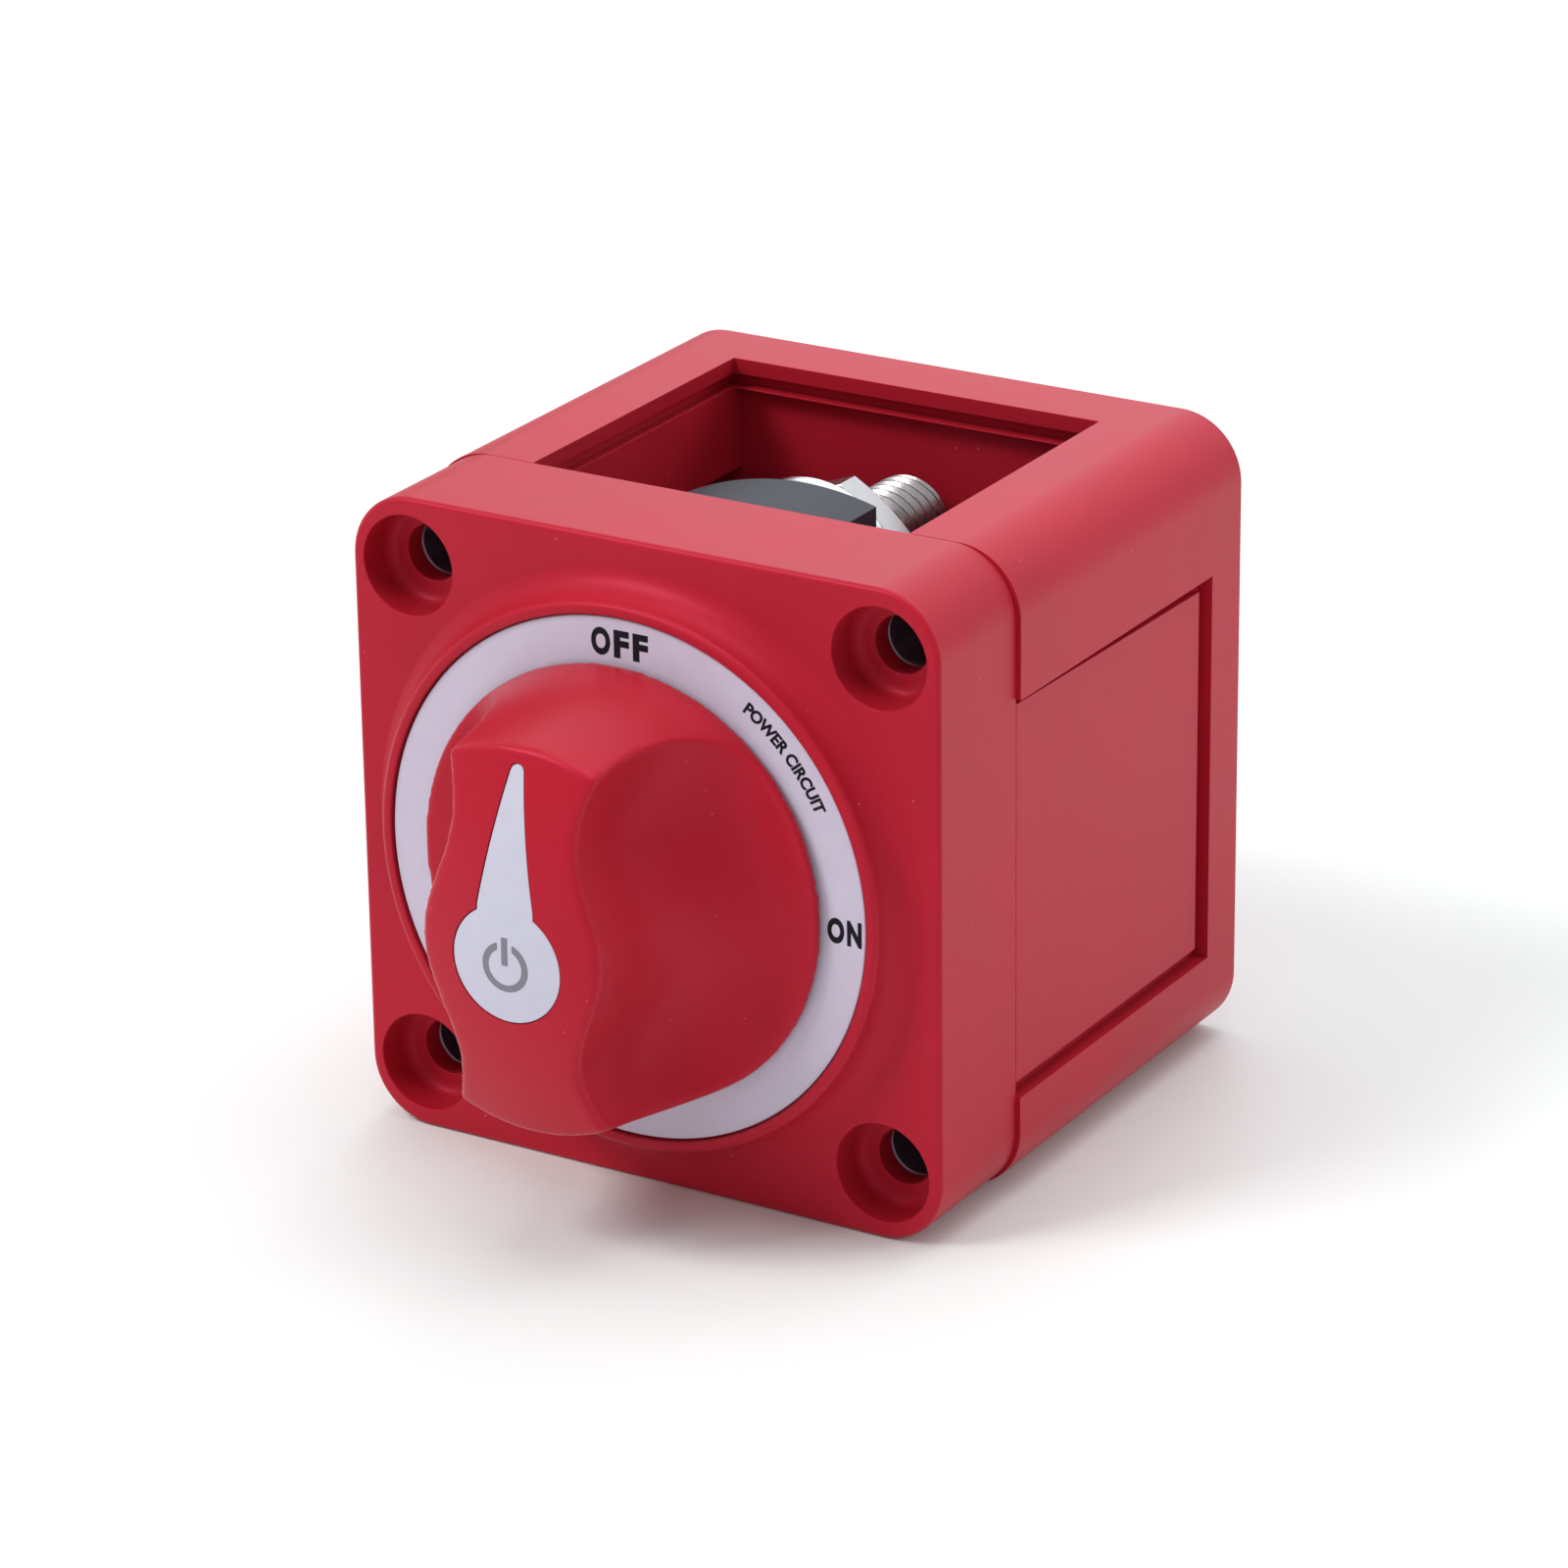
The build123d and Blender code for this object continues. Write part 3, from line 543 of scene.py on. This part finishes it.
def lettering(name, words, width, height, weight, centre=(0, 0)):
    """Raised ink in the shape of some words, facing forwards, centred at (x, z)."""
    bpy.ops.object.select_all(action="DESELECT")
    bpy.ops.object.text_add(location=(0, 0, 0))
    text = bpy.context.object
    text.name = name
    text.data.body = words
    text.data.size = height
    text.data.offset = weight
    text.data.extrude = (ink_low - ink_high) / 2
    text.data.resolution_u = 6
    bpy.ops.object.convert(target="MESH")
    piece = bpy.context.object
    corners = [Vector(corner) for corner in piece.bound_box]
    low = [min(corner[axis] for corner in corners) for axis in range(2)]
    high = [max(corner[axis] for corner in corners) for axis in range(2)]
    stretch = (width / (high[0] - low[0]), height / (high[1] - low[1]))
    piece.rotation_euler = (pi / 2, 0, 0)
    piece.scale = (*stretch, 1)
    bpy.ops.object.transform_apply(location=True, rotation=True, scale=True)
    middle = [(a + b) / 2 * size for a, b, size in zip(low, high, stretch)]
    piece.location = (centre[0] - middle[0], (ink_low + ink_high) / 2,
                      centre[1] - middle[1])
    bpy.ops.object.transform_apply(location=True, rotation=True, scale=True)
    bpy.ops.object.mode_set(mode="EDIT")
    bpy.ops.mesh.select_all(action="SELECT")
    bpy.ops.mesh.remove_doubles(threshold=2e-6)
    bpy.ops.mesh.normals_make_consistent(inside=False)
    bpy.ops.object.mode_set(mode="OBJECT")
    return piece


ink = printed_plastic("dial_ink", (0.009, 0.008, 0.014), 0.8, 0.5, 0.12)
off_height, off_line = 0.0029, 0.0250
on_height, on_line = 0.0027, -0.0004
print_weight = 0.00014
letters = [lettering(name, letter, width, height, print_weight, place)
           for name, letter, width, height, place in (
               ("off_letter_o", "O", 0.00220, off_height, (-0.00220, off_line)),
               ("off_letter_f", "F", 0.00175, off_height, (0.00020, off_line)),
               ("off_letter_f_end", "F", 0.00175, off_height, (0.00240, off_line)),
               ("on_letter_o", "O", 0.00190, on_height, (0.0243, on_line)),
               ("on_letter_n", "N", 0.00165, on_height, (0.0264, on_line)))]
curved_mark = lettering("curved_lettering", "POWER CIRCUIT", 0.0128, 0.0014, 0.00005)
curve_radius, curve_middle = 0.0256, radians(41.5)
for vertex in curved_mark.data.vertices:
    turn = curve_middle - vertex.co.x / curve_radius
    reach = curve_radius + vertex.co.z
    vertex.co.x, vertex.co.z = reach * cos(turn), reach * sin(turn)
for mark in (*letters, curved_mark):
    dress(mark, ink, "case", "dial_print")


# ---------------------------------------------------------------------------
# Knob: a drafted round red moulding with a crowned face, waisted by a deep
# finger hollow on either side, and recessed for its white pointer.
# ---------------------------------------------------------------------------
knob_base = -0.0663
knob_shoulder = -0.0839
knob_radius, knob_top_radius = 0.0230, 0.0203
crown_radius, crown_centre = 0.05351, -0.03439
crown_start, crown_steps = -67.706, 24
grip_mean, grip_wave, grip_wave_length = 0.00865, 0.00155, 0.025
hollow_top, hollow_floor = -0.0804, -0.0674
hollow_flare = 0.010
hollow_start, hollow_step, hollow_stations = -0.027, 0.00075, 73
beyond_side, before_knob = 0.030, -0.092
knob_voxel = 0.00034
pointer_lean = 10.42
pointer_tip, pointer_tip_radius = 0.01805, 0.00075
pointer_root, pointer_root_radius = 0.0045, 0.0032
disc_middle, disc_radius = -0.001, 0.0061


def crown_arc(depth=0.0):
    """Section of the knob's crowned face from its edge inwards, set back by a depth."""
    return arc((0, crown_centre + depth), crown_radius, crown_start, -90, crown_steps)[1:]


def crowned(depth, base=-0.07):
    """Solid under the knob's crowned face, set back by a depth."""
    return turned("crown", [(0, base), (knob_top_radius, base),
                            (knob_top_radius, knob_shoulder + depth)] + crown_arc(depth),
                  steps=160)


def outline_face(name, points):
    """Flat face through a chain of points, left in edit mode and selected."""
    piece = single_point(name, points[0])
    for here, point in zip(points, points[1:]):
        move = [b - a for a, b in zip(here, point)]
        bpy.ops.mesh.extrude_vertices_move(TRANSFORM_OT_translate={"value": move})
    bpy.ops.mesh.select_all(action="SELECT")
    bpy.ops.mesh.edge_face_add()
    return piece


def close_sweep(piece):
    """Turn a swept solid's faces outwards and leave edit mode."""
    bpy.ops.mesh.select_all(action="SELECT")
    bpy.ops.mesh.normals_make_consistent(inside=False)
    bpy.ops.object.mode_set(mode="OBJECT")
    return piece


def prism(name, corners, low, high):
    """Solid on an (x, z) outline between two places along Y."""
    piece = outline_face(name, [(x, low, z) for x, z in corners])
    bpy.ops.mesh.extrude_region_move(TRANSFORM_OT_translate={"value": (0, high - low, 0)})
    return close_sweep(piece)


def grip_edge(z):
    """Half width of the grip: full in the middle, with a waist for the fingers."""
    return grip_mean + grip_wave * cos(2 * pi * z / grip_wave_length)


def finger_hollow(side):
    """Space beside the grip: a wall that curves out into a floor, swept along the grip."""
    turns = [radians(turn) for turn in range(0, 91, 6)]
    curve = [(hollow_flare * (1 - cos(turn)),
              hollow_top + (hollow_floor - hollow_top) * sin(turn)) for turn in turns]
    wall = [(0, before_knob)] + curve + [(beyond_side, hollow_floor),
                                         (beyond_side, before_knob)]
    stations = [hollow_start + hollow_step * step for step in range(hollow_stations)]
    start = grip_edge(stations[0])
    piece = outline_face("finger_hollow",
                         [(side * (start + x), y, stations[0]) for x, y in wall])
    for here, ahead in zip(stations, stations[1:]):
        move = (side * (grip_edge(ahead) - grip_edge(here)), 0, ahead - here)
        bpy.ops.mesh.extrude_region_move(TRANSFORM_OT_translate={"value": move})
    return close_sweep(piece)


def pointer_shape(name, growth, low, high):
    """Disc with a tapered pointer, grown by a clearance."""
    lean = pointer_lean
    tip = arc((0, pointer_tip), pointer_tip_radius + growth, lean, 180 - lean, 12)
    root = arc((0, pointer_root), pointer_root_radius + growth, 180 - lean, 360 + lean, 24)
    reach = disc_radius + growth
    piece = prism(name, tip + root, low, high)
    trim(piece, turned("disc", [(0, low), (reach, low), (reach, high), (0, high)],
                       (0, disc_middle), 96), "UNION")
    return piece


knob = turned("knob_body", [(0, knob_base), (knob_radius, knob_base),
                            (knob_radius, knob_base - 0.0008),
                            (knob_top_radius, knob_shoulder)] + crown_arc(), steps=128)
for side in (-1, 1):
    trim(knob, finger_hollow(side))
step = knob.modifiers.new("even_mesh", "REMESH")
step.mode = "VOXEL"
step.voxel_size = knob_voxel
bpy.ops.object.modifier_apply(modifier=step.name)
step = knob.modifiers.new("rounded", "SMOOTH")
step.factor = 0.5
step.iterations = 10
bpy.ops.object.modifier_apply(modifier=step.name)

recess = pointer_shape("pointer_recess", 0.00012, -0.095, -0.083)
trim(recess, crowned(0.0006))
trim(knob, recess)
screw_head, screw_seat, screw_shank = 0.00415, -0.0825, 0.00205
drive_half, drive_end = 0.00405, -0.0770
core_width, core_length, core_end = 0.0048, 0.0155, -0.0764
hub_radius = 0.0070
trim(knob, turned("screw_seat", [(0, -0.095), (screw_head, -0.095),
                                 (screw_head, screw_seat), (screw_shank, screw_seat),
                                 (screw_shank, -0.070), (0, -0.070)], steps=48))
trim(knob, block("drive_socket", (-drive_half, drive_end, -drive_half),
                 (drive_half, -0.060, drive_half)))
core = block("core", (-core_width, core_end, -core_length),
             (core_width, -0.060, core_length))
trim(core, turned("hub", [(0, -0.080), (hub_radius, -0.080), (hub_radius, -0.050),
                          (0, -0.050)]))
trim(knob, core)
only(knob)
bpy.ops.object.shade_smooth_by_angle(angle=radians(38))
knob_red = moulded_plastic("knob_red", (0.42, 0.012, 0.024), 0.05, 0.34,
                           red_reflection, 0.2)
dress(knob, knob_red, "knob_group", "red_plastic", "knob")


# ---------------------------------------------------------------------------
# Pointer label: white printed plastic pressed into the knob's recess, with a
# plain grey on-and-off sign on its round end.
# ---------------------------------------------------------------------------
pointer = pointer_shape("pointer_inlay", 0, -0.095, -0.080)
trim(pointer, crowned(0.0001), "INTERSECT")
trim(pointer, crowned(0.00055, -0.060))
round_edges(pointer, 0.00006, 40, 1)
pointer_white = printed_plastic("pointer_white", (0.57, 0.55, 0.66), 0.95, 0.40)
dress(pointer, pointer_white, "knob_group", "pointer_print", "pointer_label")

sign_middle = -0.0012
sign_inner, sign_outer = 0.0019, 0.0026
sign_front, sign_back = -0.090, -0.085
gap_half, bar_half = 0.00085, 0.00035
sign = turned("sign_ring", [(sign_inner, sign_front), (sign_outer, sign_front),
                            (sign_outer, sign_back), (sign_inner, sign_back)],
              (0, sign_middle), 64, closed=True)
trim(sign, block("sign_gap", (-gap_half, -0.092, sign_middle),
                 (gap_half, -0.080, sign_middle + 0.004)))
trim(sign, block("sign_bar", (-bar_half, sign_front, sign_middle + 0.0002),
                 (bar_half, sign_back, sign_middle + 0.0031)), "UNION")
trim(sign, crowned(0.00007), "INTERSECT")
trim(sign, crowned(0.00012, -0.060))
shade(sign)
sign_grey = printed_plastic("sign_grey", (0.20, 0.185, 0.23), 0.9, 0.5)
dress(sign, sign_grey, "knob_group", "pointer_print")


# ---------------------------------------------------------------------------
# Terminal base: the thick dark grey disc that carries the studs and closes the
# housing from behind, moulded in phenolic, with notches round its rear edge.
# ---------------------------------------------------------------------------
def merged_copy(name, node):
    """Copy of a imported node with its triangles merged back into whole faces."""
    piece = bpy.data.objects.new(name, cad[node].data.copy())
    scene.collection.objects.link(piece)
    only(piece)
    bpy.ops.object.mode_set(mode="EDIT")
    bpy.ops.mesh.select_mode(type="VERT")
    bpy.ops.mesh.select_all(action="SELECT")
    bpy.ops.mesh.remove_doubles(threshold=2e-6)
    bpy.ops.mesh.dissolve_limited(angle_limit=radians(0.5))
    bpy.ops.object.mode_set(mode="OBJECT")
    return piece


base = merged_copy("terminal_base_disc", "terminal_base")
round_edges(base, 0.0003, 40, 2)
base_grey = moulded_plastic("base_grey", (0.026, 0.028, 0.037), 0.12, 0.56)
dress(base, base_grey, "case", "grey_plastic", "terminal_base")


# ---------------------------------------------------------------------------
# Terminal studs: stainless M10 studs with a rolled thread and a hexagonal head
# that is locked in the base, one behind each window.
# ---------------------------------------------------------------------------
stud_circle = 0.0205
pitch = 0.0015
thread_root, thread_crest = 0.00415, 0.00495
thread_flank, thread_crest_flat, thread_root_flat = 0.0005, 0.00018, 0.00015
stud_end = -0.0082
thread_start, thread_cut = -0.0345, -0.0325
shank_radius = 0.0049
head_back, head_front, head_flats = -0.0452, -0.0484, 0.015


def hexagon(flats, turn=0.0, centre=(0, 0)):
    """Corners of a hexagon given across its flats, the first at an angle from +X."""
    reach = flats / 2 / cos(pi / 6)
    return [(centre[0] + reach * cos(radians(turn + 60 * corner)),
             centre[1] + reach * sin(radians(turn + 60 * corner))) for corner in range(6)]


def metal(name, colour, gloss, brushing, depth):
    """Metal with a fine turned or rolled surface and uneven gloss."""
    paint, tree, shader, place = new_paint(name)
    shader.inputs["Metallic"].default_value = 1.0
    stretch = tree.nodes.new("ShaderNodeMapping")
    stretch.inputs["Scale"].default_value = (1, brushing, 1)
    tree.links.new(place, stretch.inputs["Vector"])
    streaks = noise(tree, stretch.outputs["Vector"], 900, 4)
    shown = two_tones(tree, streaks, 0.3, 0.75, [value * 0.8 for value in colour], colour)
    tree.links.new(shown, shader.inputs["Base Color"])
    tree.links.new(ranged(tree, streaks, gloss - 0.08, gloss + 0.12),
                   shader.inputs["Roughness"])
    tree.links.new(bump(tree, streaks, 0.2, depth), shader.inputs["Normal"])
    return paint


def placed_copies(piece, names, reach, first=0, turned_round=False):
    """Four copies of a piece made on the axis, each its own mesh, a quarter turn apart."""
    copies = []
    for number, name in enumerate(names):
        angle = radians(first + 90 * number)
        item = piece.copy()
        item.data = piece.data.copy()
        item.name = item.data.name = name
        scene.collection.objects.link(item)
        only(item)
        if turned_round:
            item.rotation_euler = (0, -angle, 0)
        item.location = (reach * cos(angle), 0, reach * sin(angle))
        bpy.ops.object.transform_apply(location=True, rotation=True, scale=True)
        copies.append(item)
    bpy.data.objects.remove(piece)
    return copies


def dress_all(copies, paint, slot, node):
    """Dress like pieces of the case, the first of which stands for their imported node."""
    for item in copies:
        dress(item, paint, "case", slot, *([node] if item == copies[0] else []))


stud = single_point("stud", (0, 0, 0))
bpy.ops.transform.translate(value=(thread_root, thread_start, 0))
rise = thread_crest - thread_root
used = thread_root_flat + thread_crest_flat + 2 * thread_flank
for outwards, along in ((0, thread_root_flat), (rise, thread_flank), (0, thread_crest_flat),
                        (-rise, thread_flank), (0, pitch - used)):
    move = (outwards, along, 0)
    bpy.ops.mesh.extrude_vertices_move(TRANSFORM_OT_translate={"value": move})
bpy.ops.object.mode_set(mode="OBJECT")
step = stud.modifiers.new("thread", "SCREW")
step.axis = "Y"
step.screw_offset = pitch
step.iterations = 20
step.steps = step.render_steps = 36
step.use_merge_vertices = True
step.merge_threshold = 1e-6
bpy.ops.object.modifier_apply(modifier=step.name)
bpy.ops.object.mode_set(mode="EDIT")
bpy.ops.mesh.select_all(action="SELECT")
bpy.ops.mesh.remove_doubles(threshold=1e-6)
bpy.ops.mesh.select_all(action="SELECT")
bpy.ops.mesh.bisect(plane_co=(0, stud_end - 0.0001, 0), plane_no=(0, 1, 0),
                    use_fill=True, clear_outer=True, threshold=1e-7)
bpy.ops.mesh.select_all(action="SELECT")
bpy.ops.mesh.bisect(plane_co=(0, thread_cut, 0), plane_no=(0, 1, 0),
                    use_fill=True, clear_inner=True, threshold=1e-7)
bpy.ops.mesh.select_all(action="SELECT")
bpy.ops.mesh.normals_make_consistent(inside=False)
bpy.ops.object.mode_set(mode="OBJECT")
trim(stud, turned("tip", [(0, -0.040), (0.0060, -0.040), (0.0060, stud_end - 0.0018),
                          (0.0040, stud_end), (0, stud_end)], steps=48), "INTERSECT")
trim(stud, turned("shank", [(0, head_back - 0.001), (shank_radius, head_back - 0.001),
                            (shank_radius, -0.0322), (0.0041, -0.0318), (0, -0.0318)],
                  steps=48), "UNION")
trim(stud, prism("head", hexagon(head_flats), head_front, head_back), "UNION")
shade(stud)
stainless = metal("stainless", (0.56, 0.53, 0.53), 0.24, 4.0, 0.00002)
studs = placed_copies(stud, ("stud_right", "stud_top", "stud_left", "stud_bottom"),
                      stud_circle)
dress_all(studs, stainless, "stainless_steel", "terminal_studs")


# ---------------------------------------------------------------------------
# Washers: a stamped flat washer of bright plated steel and a coiled split lock
# washer of stainless steel on each stud, held under the nut.
# ---------------------------------------------------------------------------
washer_bore = 0.00525
washer_seam, lock_front = -0.0284, -0.0262


def washer(name, outer, low, high, edge):
    """Flat ring with softened edges, made on the axis."""
    inner, soft = washer_bore, edge * 0.3
    return turned(name, [(inner, low + edge), (inner + edge, low), (outer - edge, low),
                         (outer - soft, low + soft), (outer, low + edge),
                         (outer, high - edge), (outer - soft, high - soft),
                         (outer - edge, high), (inner + edge, high), (inner, high - edge)],
                  steps=72, closed=True)


flat_washer = washer("flat_washer", 0.0105, base_rear, washer_seam, 0.00035)
shade(flat_washer)
plated = metal("plated", (0.80, 0.79, 0.80), 0.18, 1.0, 0.00002)
flat_washers = placed_copies(flat_washer, ("flat_washer_right", "flat_washer_top",
                                           "flat_washer_left", "flat_washer_bottom"),
                             stud_circle)
dress_all(flat_washers, plated, "plated_steel", "flat_washers")

lock_washer = washer("lock_washer", 0.0083, washer_seam, lock_front, 0.0002)
split_half = 0.0006
trim(lock_washer, prism("split", [(-0.0100, -split_half), (-0.0040, -split_half),
                                  (-0.0040, split_half), (-0.0100, split_half)],
                        -0.030, -0.025))
shade(lock_washer)
lock_washers = placed_copies(lock_washer, ("lock_washer_right", "lock_washer_top",
                                           "lock_washer_left", "lock_washer_bottom"),
                             stud_circle, turned_round=True)
dress_all(lock_washers, stainless, "stainless_steel", "lock_washers")


# ---------------------------------------------------------------------------
# Nuts: chamfered M10 hexagonal nuts, each stopped at its own angle, which clamp
# the cable terminals on the studs.
# ---------------------------------------------------------------------------
nut_back, nut_front, nut_flats = -0.0218, -0.0262, 0.016
nut_corner, nut_face, nut_chamfer = 0.00927, 0.0078, 0.0008
bore_mouth, bore_radius, bore_chamfer = 0.0056, 0.00505, 0.0006
chamfer_section = [(0, nut_front), (nut_face, nut_front),
                   (nut_corner, nut_front + nut_chamfer),
                   (nut_corner, nut_back - nut_chamfer), (nut_face, nut_back),
                   (0, nut_back)]
bore_section = [(0, -0.030), (bore_mouth, -0.030), (bore_mouth, nut_front),
                (bore_radius, nut_front + bore_chamfer),
                (bore_radius, nut_back - bore_chamfer), (bore_mouth, nut_back),
                (bore_mouth, -0.015), (0, -0.015)]
nuts = []
for name, angle, turn in (("nut_right", 0, 41), ("nut_top", 90, 9),
                          ("nut_left", 180, 27), ("nut_bottom", 270, 5)):
    centre = (stud_circle * cos(radians(angle)), stud_circle * sin(radians(angle)))
    nut = prism(name, hexagon(nut_flats, 90 - turn, centre), nut_front, nut_back)
    trim(nut, turned("chamfers", chamfer_section, centre, 72), "INTERSECT")
    trim(nut, turned("nut_bore", bore_section, centre, 48))
    round_edges(nut, 0.00012, 25, 2)
    nuts.append(nut)
dress_all(nuts, stainless, "stainless_steel", "terminal_nuts")


# ---------------------------------------------------------------------------
# Hole sleeves: dark metal tubes set in the housing's four corner holes from behind, which
# take the pressure of the mounting screws. Their dark, bluish colour is partly painted
# shade: it stands in for the dark deep inside the holes.
# ---------------------------------------------------------------------------
sleeve_outer, sleeve_low, sleeve_high = 0.0036, -0.05535, -0.04925
sleeve_chamfer = 0.0003
hole_sleeve = turned("hole_sleeve", [
    (hole_radius, sleeve_low + sleeve_chamfer), (hole_radius + sleeve_chamfer, sleeve_low),
    (sleeve_outer, sleeve_low), (sleeve_outer, sleeve_high),
    (hole_radius + sleeve_chamfer, sleeve_high),
    (hole_radius, sleeve_high - sleeve_chamfer)], steps=48, closed=True)
shade(hole_sleeve)
# Dark bluish metal for the sleeves: partly the sleeves' own colour, partly painted shade
# that darkens the inside of the corner holes.
sleeve_metal_and_hole_shade = metal("sleeve_metal_and_hole_shade", (0.40, 0.40, 0.50), 0.45, 2.0, 0.00002)
sleeves = placed_copies(hole_sleeve, ("sleeve_right_top", "sleeve_left_top",
                                      "sleeve_left_low", "sleeve_right_low"),
                        hole_offset * 2 ** 0.5, first=45)
dress_all(sleeves, sleeve_metal_and_hole_shade, "blackened_steel", "hole_sleeves")


# ---------------------------------------------------------------------------
# Inside: the turning contact gear between the base and the housing. Its parts
# keep the shapes they are made to, and each takes its own finish.
# ---------------------------------------------------------------------------
def finish_nodes(paint, *nodes):
    """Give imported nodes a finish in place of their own."""
    for node in nodes:
        for slot in cad[node].material_slots:
            slot.material = paint


rotor_black = moulded_plastic("rotor_black", (0.020, 0.020, 0.023), 0.15, 0.40)
finish_nodes(rotor_black, "rotor")
turned_steel = metal("turned_steel", (0.56, 0.55, 0.54), 0.32, 8.0, 0.00002)
finish_nodes(turned_steel, "spindle", "detent_balls")
spring_wire = metal("spring_wire", (0.42, 0.41, 0.41), 0.36, 20.0, 0.00003)
finish_nodes(spring_wire, "detent_plate", "detent_springs", "contact_springs")
zinc_plate = metal("zinc_plate", (0.60, 0.60, 0.63), 0.38, 2.0, 0.00002)
finish_nodes(zinc_plate, "base_screws", "knob_screw")
bare_copper = metal("bare_copper", (0.72, 0.33, 0.20), 0.34, 1.0, 0.00002)
finish_nodes(bare_copper, "contact_bridge_a", "contact_bridge_b", "fixed_contact_a_in",
             "fixed_contact_a_out", "fixed_contact_b_in", "fixed_contact_b_out")
seal_black = moulded_plastic("seal_black", (0.012, 0.012, 0.012), 0.2, 0.62)
finish_nodes(seal_black, "spindle_seal", "base_seal")
